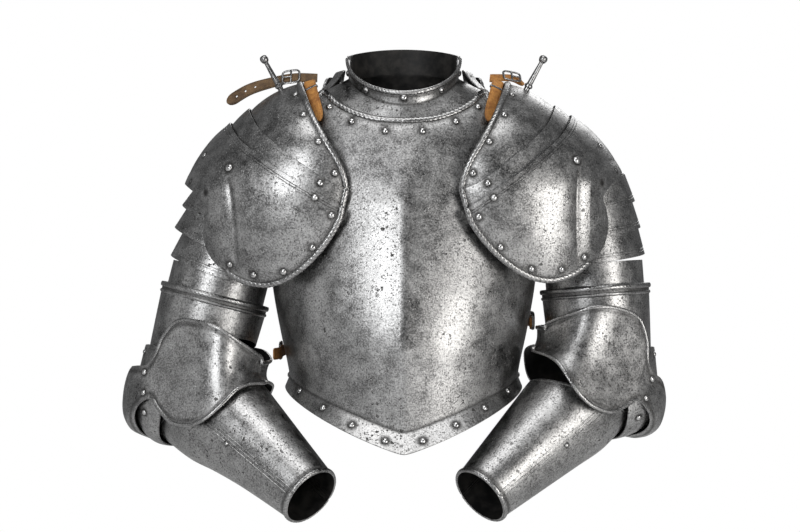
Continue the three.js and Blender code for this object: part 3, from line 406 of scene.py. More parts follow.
class Forge:
    """Makes and finishes meshes with the modelling operators."""

    @staticmethod
    def alone(obj: Obj) -> None:
        """Leaves only this object selected and active."""
        bpy.ops.object.select_all(action="DESELECT")
        obj.select_set(True)
        bpy.context.view_layer.objects.active = obj

    @staticmethod
    def added(name: str, adder: Callable[..., object], **settings: object) -> Obj:
        """Adds a primitive and gives it a name.

        Args:
            name: Its name.
            adder: The operator that adds it.
            settings: The operator's settings.

        Returns:
            The primitive, selected and active.
        """
        bpy.ops.object.select_all(action="DESELECT")
        adder(**settings)
        bpy.context.object.name = name
        return bpy.context.object

    @staticmethod
    def read(items: bpy.types.bpy_prop_collection, key: str) -> Array:
        """A vector of each corner or face of a mesh."""
        flat = np.zeros(len(items) * 3, np.float32)
        items.foreach_get(key, flat)
        return flat.reshape(-1, 3).astype(float)

    @staticmethod
    def edit(obj: Obj, *steps: Callable[[], object]) -> None:
        """Runs operators in edit mode on the whole mesh, which each finds selected."""
        Forge.alone(obj)
        bpy.ops.object.mode_set(mode="EDIT")
        for step in steps:
            bpy.ops.mesh.select_all(action="SELECT")
            step()
        bpy.ops.object.mode_set(mode="OBJECT")

    @staticmethod
    def turn_out() -> None:
        """Turns the selected faces of a solid outward, in edit mode."""
        bpy.ops.mesh.normals_make_consistent(inside=False)

    @staticmethod
    def sheet(name: str, points: Array, wrapped: bool = False, caps: bool = False) -> Obj:
        """A grid whose corners lie at given points.

        Args:
            name: The object's name.
            points: Rows by columns by three, in metres.
            wrapped: Whether the last column meets the first.
            caps: Whether the open ends are filled.

        Returns:
            The new object.
        """
        rows, columns = points.shape[:2]
        sizes = dict(x_subdivisions=rows - 1, y_subdivisions=columns - 1, size=2)
        obj = Forge.added(name, bpy.ops.mesh.primitive_grid_add, **sizes)
        mesh = obj.data
        flat = Forge.read(mesh.vertices, "co")
        i = np.rint((flat[:, 0] + 1) / 2 * (rows - 1)).astype(int)
        j = np.rint((flat[:, 1] + 1) / 2 * (columns - 1)).astype(int)
        mesh.vertices.foreach_set("co", points[i, j].astype(np.float32).reshape(-1))
        mesh.update()
        steps = []
        if wrapped:
            steps.append(lambda: bpy.ops.mesh.remove_doubles(threshold=1e-6))
        if caps:
            steps += [lambda: bpy.ops.mesh.fill_holes(sides=0), Forge.turn_out]
        if steps:
            Forge.edit(obj, *steps)
        return obj

    @staticmethod
    def face_out(obj: Obj, inside: Array) -> None:
        """Turns an open sheet's faces away from a point behind it."""
        centres, normals = (Forge.read(obj.data.polygons, key) for key in ("center", "normal"))
        if ((centres - inside) * normals).sum() < 0:
            Forge.edit(obj, bpy.ops.mesh.flip_normals)

    @staticmethod
    def apply(obj: Obj, kind: str, **settings: object) -> None:
        """Adds a modifier with its settings and applies it."""
        Forge.alone(obj)
        modifier = obj.modifiers.new(kind.title(), kind)
        for key, value in settings.items():
            setattr(modifier, key, value)
        bpy.ops.object.modifier_apply(modifier=modifier.name)

    @staticmethod
    def shade(obj: Obj, values: Array | float) -> None:
        """Writes how much painted shade and dirt each corner of a mesh gets, from 0 to 1."""
        mesh = obj.data
        attribute = mesh.attributes.get(SHADE) or mesh.attributes.new(SHADE, "FLOAT", "POINT")
        filled = np.broadcast_to(np.asarray(values, np.float32), (len(mesh.vertices),))
        attribute.data.foreach_set("value", np.ascontiguousarray(filled))

    @staticmethod
    def shade_near(obj: Obj, places: Array, values: Array) -> None:
        """Writes at each corner of a mesh the painted shade and dirt of the nearest of some places.

        Args:
            obj: The mesh.
            places: The places, in metres.
            values: How much painted shade and dirt each gets, from 0 to 1.
        """
        flat, level = places.reshape(-1, 3), values.reshape(-1)
        tree = kdtree.KDTree(len(flat))
        for k, point in enumerate(flat):
            tree.insert(point, k)
        tree.balance()
        Forge.shade(obj, [level[tree.find(vertex.co)[1]] for vertex in obj.data.vertices])

    @staticmethod
    def points(obj: Obj) -> Array:
        """The mesh's corners."""
        return Forge.read(obj.data.vertices, "co")

    @staticmethod
    def join(name: str, pieces: Sequence[Obj]) -> Obj:
        """Joins pieces into one object with the first one's place.

        Args:
            name: The joined object's name.
            pieces: The pieces, which are used up.

        Returns:
            The joined object.
        """
        bpy.ops.object.select_all(action="DESELECT")
        for piece in pieces:
            piece.select_set(True)
        bpy.context.view_layer.objects.active = pieces[0]
        if len(pieces) > 1:
            bpy.ops.object.join()
        obj = bpy.context.object
        obj.name = name
        obj.data.name = name
        return obj

    @staticmethod
    def smooth(obj: Obj, degrees: float = 32.0) -> None:
        """Smooths the shading over edges flatter than an angle."""
        Forge.alone(obj)
        bpy.ops.object.shade_smooth_by_angle(angle=math.radians(degrees))

    @staticmethod
    def copies(name: str, model: Obj, places: Sequence[Matrix]) -> Obj:
        """One mesh that holds a copy of a model at each place.

        Args:
            name: The object's name.
            model: The model, which stays as it is.
            places: Where the copies go.

        Returns:
            The new object.
        """
        made = []
        for place in places:
            copy = model.copy()
            copy.data = model.data.copy()
            bpy.context.scene.collection.objects.link(copy)
            copy.hide_render = False
            copy.data.transform(place)
            if place.determinant() < 0:
                copy.data.flip_normals()
            made.append(copy)
        return Forge.join(name, made)

    @staticmethod
    def frame_at(point: Array, normal: Array) -> Matrix:
        """The place of a model whose foot is at a point and whose top looks along a direction."""
        turn = Vector(normal).to_track_quat("Z", "Y").to_matrix().to_4x4()
        return Matrix.Translation(Vector(point)) @ turn

    @staticmethod
    def lathe(name: str, profile: Sequence, base: Sequence, direction: Sequence, sides: int = 28) -> Obj:
        """A turned piece.

        Args:
            name: The object's name.
            profile: Radius and height pairs in mm, closed at the axis at both ends.
            base: The foot of the axis, in mm.
            direction: Where the axis points.
            sides: How many sides go round.

        Returns:
            The new object.
        """
        rows = np.array(profile, float)
        turn = np.linspace(0, 2 * np.pi, sides + 1)
        radius = np.repeat(rows[:, :1], sides + 1, 1)
        height = np.repeat(rows[:, 1:], sides + 1, 1)
        local = np.stack([radius * np.cos(turn), radius * np.sin(turn), height], -1)
        place = np.array(Forge.frame_at(np.array(base, float), np.array(direction, float)))
        turned = local @ place[:3, :3].T + place[:3, 3]
        turned[:, -1] = turned[:, 0]
        obj = Forge.sheet(name, turned * MM, wrapped=True, caps=True)
        Forge.shade(obj, 0.0)
        return obj


# Finishes


class Value:
    """A shader socket that adds maths nodes when it is used in an expression."""

    def __init__(self, recipe: "Recipe", socket: bpy.types.NodeSocket) -> None:
        """Wraps a socket of a recipe."""
        self.recipe = recipe
        self.socket = socket

    def _maths(self, operation: str, *values: object) -> "Value":
        """A maths node on values or sockets."""
        return self.recipe.node("ShaderNodeMath", {"operation": operation}, dict(enumerate(values)))

    def __add__(self, other: object) -> "Value":
        """The sum."""
        return self._maths("ADD", self, other)

    __radd__ = __add__

    def __mul__(self, other: object) -> "Value":
        """The product."""
        return self._maths("MULTIPLY", self, other)

    __rmul__ = __mul__

    def __sub__(self, other: object) -> "Value":
        """The difference."""
        return self._maths("SUBTRACT", self, other)

    def __rsub__(self, other: object) -> "Value":
        """The difference the other way round."""
        return self._maths("SUBTRACT", other, self)

    def step(self, low: float, high: float) -> "Value":
        """Rises smoothly from 0 at low to 1 at high."""
        sockets = {"Value": self, "From Min": low, "From Max": high}
        return self.recipe.node("ShaderNodeMapRange", {"interpolation_type": "SMOOTHSTEP"}, sockets)


class Recipe:
    """A material's node tree, built by expressions."""

    def __init__(self, name: str) -> None:
        """Starts a material with its shader.

        Args:
            name: The material's name.
        """
        self.material = bpy.data.materials.new(name)
        self.material.use_nodes = True
        self.tree = self.material.node_tree
        self.shader = self.tree.nodes["Principled BSDF"]
        self.where = self.node("ShaderNodeTexCoord", {}, {}, "Object")

    def node(self, kind: str, settings: dict, values: dict, out: object = 0) -> Value:
        """Adds a node.

        Args:
            kind: The node's type.
            settings: Attributes that are set before its sockets.
            values: Values or sockets by input name or index.
            out: The output that is wanted.

        Returns:
            The wanted output.
        """
        made = self.tree.nodes.new(kind)
        for key, value in settings.items():
            setattr(made, key, value)
        for key, value in values.items():
            self.put(made.inputs[key], value)
        return Value(self, made.outputs[out])

    def put(self, socket: bpy.types.NodeSocket, value: object) -> None:
        """Links or sets a socket."""
        if isinstance(value, Value):
            self.tree.links.new(value.socket, socket)
        else:
            socket.default_value = value

    def set(self, **values: object) -> None:
        """Puts values on the shader, with underscores for blanks in the sockets' names."""
        for key, value in values.items():
            self.put(self.shader.inputs[key.replace("_", " ")], value)

    def dirt_and_shade(self) -> Value:
        """How much painted shade and dirt the mesh gets, as Forge.shade wrote it."""
        return self.node("ShaderNodeAttribute", {"attribute_name": SHADE}, {}, "Fac")

    def noise(self, scale: float, detail: float, rough: float, where: Value | None = None) -> Value:
        """Soft noise between about 0.3 and 0.7, with scale features a metre."""
        sockets = {"Vector": where or self.where, "Scale": scale, "Detail": detail, "Roughness": rough}
        return self.node("ShaderNodeTexNoise", {}, sockets)

    def mapped(self, scale: Sequence[float], turn: Sequence[float]) -> Value:
        """The object's coordinates turned and then stretched."""
        turned = self.node("ShaderNodeMapping", {}, {"Vector": self.where, "Rotation": turn})
        return self.node("ShaderNodeMapping", {}, {"Vector": turned, "Scale": scale})

    def specks(self, scale: float, share: float, size: float) -> Value:
        """Small round marks, one in some cells.

        Args:
            scale: Cells a metre.
            share: The share of cells that hold a mark.
            size: A mark's size as a share of a cell.

        Returns:
            One inside a mark and zero outside.
        """
        sockets = {"Vector": self.where, "Scale": scale * 1.7, "Detail": 1.0}
        warp = self.node("ShaderNodeTexNoise", {}, sockets, "Color")
        sockets = {0: warp, 1: (0.9 / scale,) * 3, 2: self.where}
        moved = self.node("ShaderNodeVectorMath", {"operation": "MULTIPLY_ADD"}, sockets)
        cells = self.tree.nodes.new("ShaderNodeTexVoronoi")
        self.put(cells.inputs["Vector"], moved)
        self.put(cells.inputs["Scale"], scale)
        distance = Value(self, cells.outputs["Distance"])
        chance = self.node("ShaderNodeSeparateColor", {}, {0: Value(self, cells.outputs["Color"])})
        radius = chance.step(1 - share, 1.0) * size
        return (radius - distance).step(0.0, 0.1)

    def mix(self, share: object, low: object, high: object) -> Value:
        """A colour between two colours."""
        sockets = {0: share, 6: low, 7: high}
        return self.node("ShaderNodeMix", {"data_type": "RGBA"}, sockets, 2)

    def bump(self, height: Value, distance: float, **under: Value) -> Value:
        """A normal from a height of up to 1 that stands for a distance in metres, over one under it."""
        sockets = {"Height": height, "Distance": distance, "Strength": 1.0, **under}
        return self.node("ShaderNodeBump", {}, sockets)


def grey(level: float, warmth: float = 0.0) -> Colour:
    """A grey of a level, a little warm or cool."""
    return (level * (1 + warmth), level, level * (1 - warmth), 1.0)


@dataclass(frozen=True)
class SteelFinish:
    """Old polished steel, mottled, pitted and scratched.

    Attributes:
        name: The material's name.
        dark: The darkest level of the mottling.
        light: The lightest level.
        rough: The roughness where it is cleanest.
        pits: How strongly the pits show, from 0 to 1.
        waves: The height of the hammered unevenness, in metres.
    """

    name: str
    dark: float = 0.135
    light: float = 0.55
    rough: float = 0.36
    pits: float = 1.0
    waves: float = 0.0012

    def material(self) -> bpy.types.Material:
        """Builds the material."""
        r = Recipe(self.name)
        clouds, mottle, grain = r.noise(8.0, 3.0, 0.6), r.noise(48.0, 6.0, 0.66), r.noise(520.0, 2.0, 0.6)
        cloudy, mottled, grainy = clouds - 0.5, mottle - 0.5, grain - 0.5
        streaks = r.noise(1.0, 2.0, 0.5, r.mapped((14.0, 420.0, 420.0), (0.2, 0.5, 0.7)))
        hairs = r.noise(1.0, 1.0, 0.5, r.mapped((380.0, 380.0, 9.0), (0.35, -0.25, 0.1)))
        scratch = 1 - ((streaks - 0.5) * (streaks - 0.5)).step(0.0, 0.0006)
        hair = 1 - ((hairs - 0.46) * (hairs - 0.46)).step(0.0, 0.0004)
        zones = clouds.step(0.42, 0.62)
        fine = r.specks(430.0, 0.72, 0.5) * (zones * 0.5 + 0.5)
        coarse = r.specks(170.0, 0.24, 0.42) * (zones * 0.85 + 0.15)
        dirt_and_shade = r.dirt_and_shade()
        tone = cloudy * 0.55 + mottled + grainy * 1.6 + 0.5
        base = r.mix(tone.step(0.0, 1.0), grey(self.dark, 0.005), grey(self.light, 0.006))
        base = r.mix((scratch * 0.25 + hair * 0.16) * mottle.step(0.4, 0.6), base, grey(self.light * 1.25))
        marks = (fine * 0.75 + coarse * 0.9) * self.pits
        base = r.mix(marks, base, grey(0.03, 0.06))
        # Painted shade and dirt from the shade attribute: darker round rivets, beside ropes and in folds and
        # grooves
        base = r.mix(dirt_and_shade * (mottle * 0.5 + 0.65), base, grey(0.035, 0.04))
        rough = mottled * 0.5 + grainy * 0.2 + marks * 0.3 + dirt_and_shade * 0.22 + self.rough
        height = mottled * 0.28 + grainy * 0.22 - fine * self.pits * 0.35 - coarse * self.pits * 0.6
        small = r.bump(height, 0.0005, Normal=r.bump(r.noise(17.0, 2.0, 0.5), self.waves))
        r.set(Base_Color=base, Metallic=1 - marks * 0.6, Roughness=rough, Normal=small)
        return r.material


@dataclass(frozen=True)
class InnerFinish:
    """The blackened inside of the plates."""

    name: str = "blackened_inside"

    def material(self) -> bpy.types.Material:
        """Builds the material."""
        r = Recipe(self.name)
        mottle = r.noise(60.0, 5.0, 0.6)
        base = r.mix(mottle.step(0.35, 0.7), grey(0.008), grey(0.035, 0.08))
        r.set(Base_Color=base, Metallic=0.4, Roughness=mottle * 0.3 + 0.45)
        r.set(Normal=r.bump(mottle, 0.0004))
        return r.material


@dataclass(frozen=True)
class LeatherFinish:
    """Worn strap leather.

    Attributes:
        name: The material's name.
        face: The colour of the worn face.
        deep: The colour in its creases.
    """

    name: str
    face: Colour
    deep: Colour

    def material(self) -> bpy.types.Material:
        """Builds the material."""
        r = Recipe(self.name)
        pebbles = r.node("ShaderNodeTexVoronoi", {}, {"Vector": r.where, "Scale": 900.0}, "Distance")
        fibre, stain = r.noise(240.0, 4.0, 0.65), r.noise(55.0, 4.0, 0.6)
        dirt_and_shade = r.dirt_and_shade()
        tone = (stain - 0.5) * 1.6 + (fibre - 0.5) * 1.3 + 0.5
        base = r.mix(tone.step(0.0, 1.0), self.deep, self.face)
        # Painted shade and dirt from the shade attribute: darker in the stitches, towards the edges and on
        # the underside
        base = r.mix(dirt_and_shade, base, tuple(0.3 * c for c in self.deep[:3]) + (1.0,))
        height = fibre * 0.6 - pebbles * 0.5 + (stain - 0.5) * 0.6
        r.set(Base_Color=base, Roughness=fibre * 0.3 + 0.55, Normal=r.bump(height, 0.0007))
        return r.material


class Finishes:
    """The materials of the whole armour, each made once."""

    def __init__(self) -> None:
        """Builds every material."""
        self.steel = SteelFinish("polished_plate").material()
        self.bright = SteelFinish("bright_fittings", 0.3, 0.74, 0.24, 0.25, 0.0).material()
        self.rope = SteelFinish("roped_edge", 0.2, 0.52, 0.32, 0.4, 0.0).material()
        self.plain = SteelFinish("plain_fittings", 0.16, 0.4, 0.3, 0.2, 0.0).material()
        self.inner = InnerFinish().material()
        tan = LeatherFinish("tan_leather", (0.62, 0.29, 0.07, 1), (0.3, 0.11, 0.025, 1))
        # A darker copy of the tan leather for the strap whose face lies in shade: painted shade
        dark = LeatherFinish("dark_leather", (0.2, 0.12, 0.055, 1), (0.07, 0.038, 0.018, 1))
        self.orange, self.brown = tan.material(), dark.material()


# Shared details


@dataclass
class Workshop:
    """What every sub-assembly shares: the finishes, a rivet and the ways to dress a plate."""

    finishes: Finishes
    rivet: Obj = field(init=False)
    made: list[Obj] = field(default_factory=list)

    def __post_init__(self) -> None:
        """Makes the rivet that the copies are taken from."""
        self.rivet = self._rivet()

    @staticmethod
    def _rivet() -> Obj:
        """A domed rivet head of radius one and height one, with a skirt below."""
        sizes = dict(segments=18, ring_count=14, radius=1.0)
        obj = Forge.added("rivet_model", bpy.ops.mesh.primitive_uv_sphere_add, **sizes)
        bpy.ops.object.mode_set(mode="EDIT")
        bpy.ops.mesh.select_all(action="SELECT")
        bpy.ops.mesh.bisect(plane_co=(0, 0, 0.12), plane_no=(0, 0, 1), clear_inner=True)
        bpy.ops.mesh.extrude_region_move(TRANSFORM_OT_translate={"value": (0, 0, -0.9)})
        bpy.ops.mesh.edge_face_add()
        bpy.ops.mesh.select_all(action="SELECT")
        Forge.turn_out()
        bpy.ops.object.mode_set(mode="OBJECT")
        # Painted shade: the rivet darkens towards its foot on the plate
        Forge.shade(obj, np.clip(0.95 - Forge.points(obj)[:, 2] * 2.2, 0, 0.9))
        obj.hide_render = True
        return obj

    def plate(
        self,
        node: str,
        plate: Plate,
        ropes: Sequence[tuple] = (),
        rivets: Sequence[Sequence[float]] = (),
        extras: Sequence[Obj] = (),
        hole: tuple[Array, Array, float] | None = None,
        folds: Sequence[float] = (),
        grooves: Sequence[Sequence[Pair]] = (),
    ) -> None:
        """Makes the finished piece that stands for a plate of the frame.

        Args:
            node: The node it replaces.
            plate: Its shape.
            ropes: Roped borders, each u0, u1, v0 or v1, with a fade along it or None and a size share.
            rivets: Rivet places as shares, each with a size share or without.
            extras: Further solids that are joined to it.
            hole: A hole's line and radius, or None.
            folds: Shares v of sharp folds, along which shade is painted.
            grooves: Lines of share pairs along which shade is painted too.
        """
        rivets = [(*place, 1.0)[:3] for place in rivets]
        u, v = plate.shares()
        points = plate.skin(u, v)
        normals = plate.normals(u, v)
        rise = plate.across.rises()[:, None] + plate.down.rises()[None, :]
        if plate.relief is not None:
            rise = rise + plate.relief(u, v, points)
        placed = plate.placed(points + normals * rise[..., None])
        if plate.closed:
            placed[-1] = placed[0]
        obj = Forge.sheet(node + "_steel", placed, wrapped=plate.closed)
        # Painted shade round the rivets, beside the ropes and along the folds and grooves
        self._paint_shade(obj, plate, ropes, rivets, [*[((0, fold), (1, fold)) for fold in folds], *grooves])
        Forge.face_out(obj, plate.placed(np.array(plate.inside, float)[None])[0])
        for material in (self.finishes.steel, self.finishes.inner, self.finishes.bright, self.finishes.rope):
            obj.data.materials.append(material)
        rims = dict(use_even_offset=False, material_offset=1, material_offset_rim=0)
        Forge.apply(obj, "SOLIDIFY", thickness=PLATE * MM, offset=-1.0, **rims)
        rounding = dict(segments=1, limit_method="ANGLE", angle_limit=math.radians(62))
        Forge.apply(obj, "BEVEL", width=BEVEL * MM, **rounding)
        if hole is not None:
            cut_round(obj, *hole)
        parts = [obj]
        for which, fade, *scale in ropes:
            parts.extend(self._rope(plate, which, fade, *scale))
        if rivets:
            parts.append(self._rivets(plate, rivets))
        parts.extend(extras)
        self.finish(Forge.join(node + "_steel", parts), node)

    def finish(self, obj: Obj, node: str) -> None:
        """Puts a piece on its body in place of its node."""
        Forge.smooth(obj)
        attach(obj, frame["nodes"][node]["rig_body"])
        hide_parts(node)
        self.made.append(obj)
        LOG.info("%s: %d faces", obj.name, len(obj.data.polygons))

    @staticmethod
    def _paint_shade(
        obj: Obj,
        plate: Plate,
        ropes: Sequence[tuple],
        rivets: Sequence[Triple],
        grooves: Sequence[Sequence[Pair]],
    ) -> None:
        """Darkens a plate with painted shade round its rivets, beside its ropes and along its grooves.

        Args:
            obj: The plate's mesh, before it gets its thickness.
            plate: Its shape.
            ropes: Its ropes, as plate takes them.
            rivets: Shares u and v and a size share of each rivet.
            grooves: Lines of share pairs.
        """
        points = Forge.points(obj)
        shade = np.zeros(len(points))
        for u, v, size in rivets:
            centre, _ = plate.spot(u, v)
            reach = np.linalg.norm(points - centre, axis=1) / MM
            shade = np.maximum(shade, np.clip(RIVET_SHADE - reach / (RIVET_RADIUS * size), 0, 1))
        lines = [(plate.border(rope[0], ROPE_WIDTH)[0][::8], *ROPE_SHADE) for rope in ropes]
        for places in grooves:
            knots, at = np.linspace(0, 1, len(places)), np.linspace(0, 1, GROOVE_POINTS)
            u, v = (np.interp(at, knots, [place[k] for place in places]) for k in (0, 1))
            lines.append((plate.placed(plate.skin(u, v)), *GROOVE_SHADE))
        for line, strength, width in lines:
            for start in range(0, len(points), CHUNK):
                part = slice(start, start + CHUNK)
                reach = np.linalg.norm(points[part, None] - line[None], axis=2).min(1) / MM
                shade[part] = np.maximum(shade[part], strength * np.clip(1.25 - reach / width, 0, 1))
        Forge.shade(obj, shade)

    def _rope(self, plate: Plate, which: str, fade: Fade | None, scale: float = 1.0) -> list[Obj]:
        """The twisted roll along a border, in stretches where it isn't faded out.

        Args:
            plate: The plate's shape.
            which: The border, u0, u1, v0 or v1.
            fade: Its size along the border, or None where it is even.
            scale: The share of its full size.

        Returns:
            The stretches.
        """
        points, normals, u, v = plate.border(which, scale * ROPE_WIDTH / 2)
        size = np.ones(len(points)) if fade is None else np.clip(fade(u, v), 0, 1)
        shown = size > 0.15
        edges = np.flatnonzero(np.diff(np.concatenate([[0], shown.astype(int), [0]])))
        whole = plate.closed and which[0] == "v" and shown.all()
        return [
            self.rope(points[start:end], normals[start:end], scale * size[start:end], scale, whole)
            for start, end in zip(edges[::2], edges[1::2])
            if end - start >= 8
        ]

    def rope(self, points: Array, normals: Array, size: Array, pace: float, loop: bool) -> Obj:
        """A roped roll along a line of points on a surface.

        Args:
            points: The line, in metres.
            normals: Outward directions along it.
            size: The share of its full size along it.
            pace: The share of its full pitch.
            loop: Whether its ends meet.

        Returns:
            The roll.
        """
        steps = np.linalg.norm(np.diff(points, axis=0), axis=1)
        length = np.concatenate([[0], np.cumsum(steps)])
        total = length[-1]
        count = max(8, int(total / (ROPE_STEP * MM)))
        turns = max(1, round(total / (ROPE_PITCH * pace * MM)))
        at = np.linspace(0, total, count + 1)

        def resampled(values: Array) -> Array:
            """Values along the line at even steps."""
            return np.stack([np.interp(at, length, values[:, k]) for k in range(values.shape[1])], -1)

        line, out = resampled(points), unit(resampled(normals))
        scale = np.interp(at, length, size)
        if loop:
            line[-1], out[-1] = line[0], out[0]
            run = unit(np.roll(line[:-1], -1, 0) - np.roll(line[:-1], 1, 0))
            run = np.concatenate([run, run[:1]])
        else:
            run = unit(np.gradient(line, axis=0))
            ends = np.minimum(at, total - at) / (ROPE_END * MM)
            scale = scale * np.sqrt(np.clip(ends, 0.12, 1))
        side = unit(np.cross(run, out))
        around = np.linspace(0, 2 * np.pi, ROPE_POINTS)
        slant = ROPE_SLANT * around[None] * (4 / 3 if loop else 1)
        groove = 1 - np.abs(np.sin(np.pi * (turns * at[:, None] / total) + slant)) ** ROPE_SHARPNESS
        radius = scale[:, None] * (1 - ROPE_CUT * groove)
        half_width = 0.5 * ROPE_WIDTH * MM
        half_height = 0.5 * (ROPE_HEIGHT + PLATE) * MM
        middle = 0.5 * (ROPE_HEIGHT - PLATE) * MM
        ring = (
            line[:, None]
            + side[:, None] * (half_width * radius * np.cos(around))[..., None]
            + out[:, None] * (middle + half_height * radius * np.sin(around))[..., None]
        )
        ring[:, -1] = ring[:, 0]
        obj = Forge.sheet("rope", ring, wrapped=True, caps=not loop)
        if loop:
            Forge.edit(obj, Forge.turn_out)
        # Painted shade in the deep parts of the rope's grooves
        Forge.shade_near(obj, ring, np.clip((groove - 0.35) * 2.2, 0, 1))
        obj.data.materials.append(self.finishes.rope)
        return obj

    def _rivets(self, plate: Plate, places: Sequence[Triple]) -> Obj:
        """Rivet heads at places of a plate."""
        frames = []
        for u, v, size in places:
            radius, height = RIVET_RADIUS * size * MM, RIVET_HEIGHT * size * MM
            frames.append(Forge.frame_at(*plate.spot(u, v)) @ Matrix.Diagonal((radius, radius, height, 1)))
        obj = Forge.copies("rivets", self.rivet, frames)
        obj.data.materials.append(self.finishes.bright)
        return obj

    def dress(self, obj: Obj, node: str, material: bpy.types.Material, slot: Slot) -> None:
        """Gives a piece its material, where it has none yet, and its place on the frame.

        Args:
            obj: The piece.
            node: The node it replaces.
            material: Its material.
            slot: The record's slot that it fills; it is not used.
        """
        if not obj.data.materials:
            obj.data.materials.append(material)
        self.finish(obj, node)


def place_on(skin: Skin, wanted: Sequence[float], bounds: Sequence[float]) -> Pair:
    """The shares of a skin whose point lies nearest to a place seen from the front.

    Args:
        skin: The skin.
        wanted: The place's x and z, in mm.
        bounds: The lowest and highest u, then v.

    Returns:
        The shares u and v.
    """
    low = np.array([bounds[0], bounds[2]], float)
    high = np.array([bounds[1], bounds[3]], float)
    start, end = low.copy(), high.copy()
    best = (low + high) / 2
    for _ in range(SEARCH_ROUNDS):
        sides = [np.linspace(start[k], end[k], SEARCH_POINTS) for k in (0, 1)]
        u, v = np.meshgrid(*sides, indexing="ij")
        points = skin(u, v)
        miss = np.hypot(points[..., 0] - wanted[0], points[..., 2] - wanted[1])
        k = np.unravel_index(np.argmin(miss), miss.shape)
        best = np.array([u[k], v[k]])
        reach = (end - start) / SEARCH_SHARE
        start, end = np.maximum(best - reach, low), np.minimum(best + reach, high)
    return float(best[0]), float(best[1])


# Cuirass


@dataclass
class Cuirass:
    """The breastplate and the backplate."""

    shop: Workshop
    top: float = 15
    height: float = 421
    half_width: float = 174
    chest_depth: float = 166
    back_depth: float = 130
    ridge_height: float = 11
    ridge_reach: float = 105
    waist_dip: float = 0.128
    side_lap: float = 3.9
    front_sweep: float = 92
    back_sweep: float = 95
    flange_drop: float = 24
    flange_reach: float = 20
    levels: Floats = (0, 0.095, 0.178, 0.273, 0.392, 0.511, 0.615, 0.741, 0.841, 1)
    widths: Floats = (0.862, 0.908, 0.954, 0.989, 1, 0.983, 0.957, 0.902, 0.851, 0.793)
    depths: Floats = (0.37, 0.55, 0.64, 0.725, 0.815, 0.9, 0.962, 1, 0.985, 0.95)
    backs: Floats = (0.65, 0.79, 0.85, 0.94, 1, 0.98, 0.91, 0.79, 0.73, 0.73)
    reaches: Floats = (0, 0.2, 0.38, 0.52, 0.64, 0.69, 0.74, 0.8, 0.87, 0.95, 1.1)
    front_edge: Floats = (0.09, 0.083, 0.063, 0.037, 0.006, 0.036, 0.112, 0.226, 0.344, 0.428, 0.458)
    back_edge: Floats = (0.03, 0.025, 0.01, -0.01, -0.03, 0.02, 0.1, 0.22, 0.34, 0.428, 0.458)
    neck_rivets: Pairs = ((93.1, -9), (64.8, -27), (23.1, -38.5))
    flange_rivets: Pairs = (
        (151.2, -350), (129.9, -363.1), (99.8, -378.8), (63.8, -396.2), (22.7, -413.4),
    )

    def _row(self, level: Array, turn: Array, width: Array, depth: Array) -> Array:
        """A point of the torso's rounded section at a level."""
        x = width * signed_power(np.sin(turn), 0.9)
        y = depth * signed_power(-np.cos(turn), 0.9)
        return np.stack([x, y, self.top - level * self.height], -1)

    def _flanged(self, point: Array, turn: Array, width: Array, depth: Array, share: Array) -> Array:
        """Turns the waist edge out into the flange."""
        out = unit(np.stack([np.sin(turn) / width, -np.cos(turn) / depth, 0 * turn], -1))
        drop = self.flange_drop * lerp(1, 0.6, np.abs(np.sin(turn)))
        reach = self.flange_reach * lerp(1, 0.3, np.sin(turn) ** 2)
        moved = point + out * (reach * share)[..., None]
        moved[..., 2] -= drop * share
        return moved

    def breast(self, u: Array, v: Array) -> Array:
        """The breastplate's skin."""
        turn = np.radians(lerp(-self.front_sweep, self.front_sweep, u))
        reach = np.abs(np.sin(turn))
        high = through(self.reaches, self.front_edge, reach)
        waist = 1 - self.waist_dip * np.sqrt(reach * reach + 6e-4)
        level = lerp(high, waist, np.minimum(v, 1))
        width = self.half_width * through(self.levels, self.widths, level)
        depth = self.chest_depth * through(self.levels, self.depths, level)
        point = self._row(level, turn, width, depth)
        ridge = np.maximum(0, 1 - np.abs(point[..., 0]) / self.ridge_reach) ** 1.4
        point[..., 1] -= self.ridge_height * ridge * np.clip(level * 3, 0, 1)
        return self._flanged(point, turn, width, depth, np.maximum(v - 1, 0))

    def back(self, u: Array, v: Array) -> Array:
        """The backplate's skin."""
        turn = np.radians(lerp(-self.back_sweep, self.back_sweep, u))
        reach = np.abs(np.sin(turn))
        high = through(self.reaches, self.back_edge, reach)
        level = lerp(high, 1 - self.waist_dip, np.minimum(v, 1))
        width = self.half_width * through(self.levels, self.widths, level) - self.side_lap
        depth = self.back_depth * through(self.levels, self.backs, level)
        point = self._row(level, turn, width, depth)
        point[..., 1] *= -1
        return self._flanged(point, np.pi - turn, width, depth, np.maximum(v - 1, 0))

    def build(self) -> None:
        """Makes both plates."""
        inside = (0.0, 0.0, self.top - self.height / 2)
        edges = dict(start=ROPED, end=(0, 1.2, 3), stops=(1.0,))
        front = Plate(self.breast, Rows((150,)), Rows((88, 10), **edges), inside, 2.0)
        neck = [place_on(self.breast, p, (0.5, 1, 0, 0.4)) for p in self.neck_rivets]
        flange = [place_on(self.breast, p, (0.5, 1, 1, 2)) for p in self.flange_rivets]
        rivets = [(side, v) for u, v in neck + flange for side in (u, 1 - u)]
        self.shop.plate("breastplate", front, [("v0", None)], rivets, folds=(1.0,))
        rear = Plate(self.back, Rows((130,)), Rows((80, 9), **edges), inside, 2.0, relief=self._spine)
        self.shop.plate("backplate", rear, [("v0", faded_ends(20, 1.2))], folds=(1.0,))

    @staticmethod
    def _spine(u: Array, v: Array, points: Array) -> Array:
        """The shallow hollow that runs down the middle of the back."""
        return -2.2 * np.exp(-((points[..., 0] / 26) ** 2)) * np.clip(v * 2, 0, 1)


# Gorget


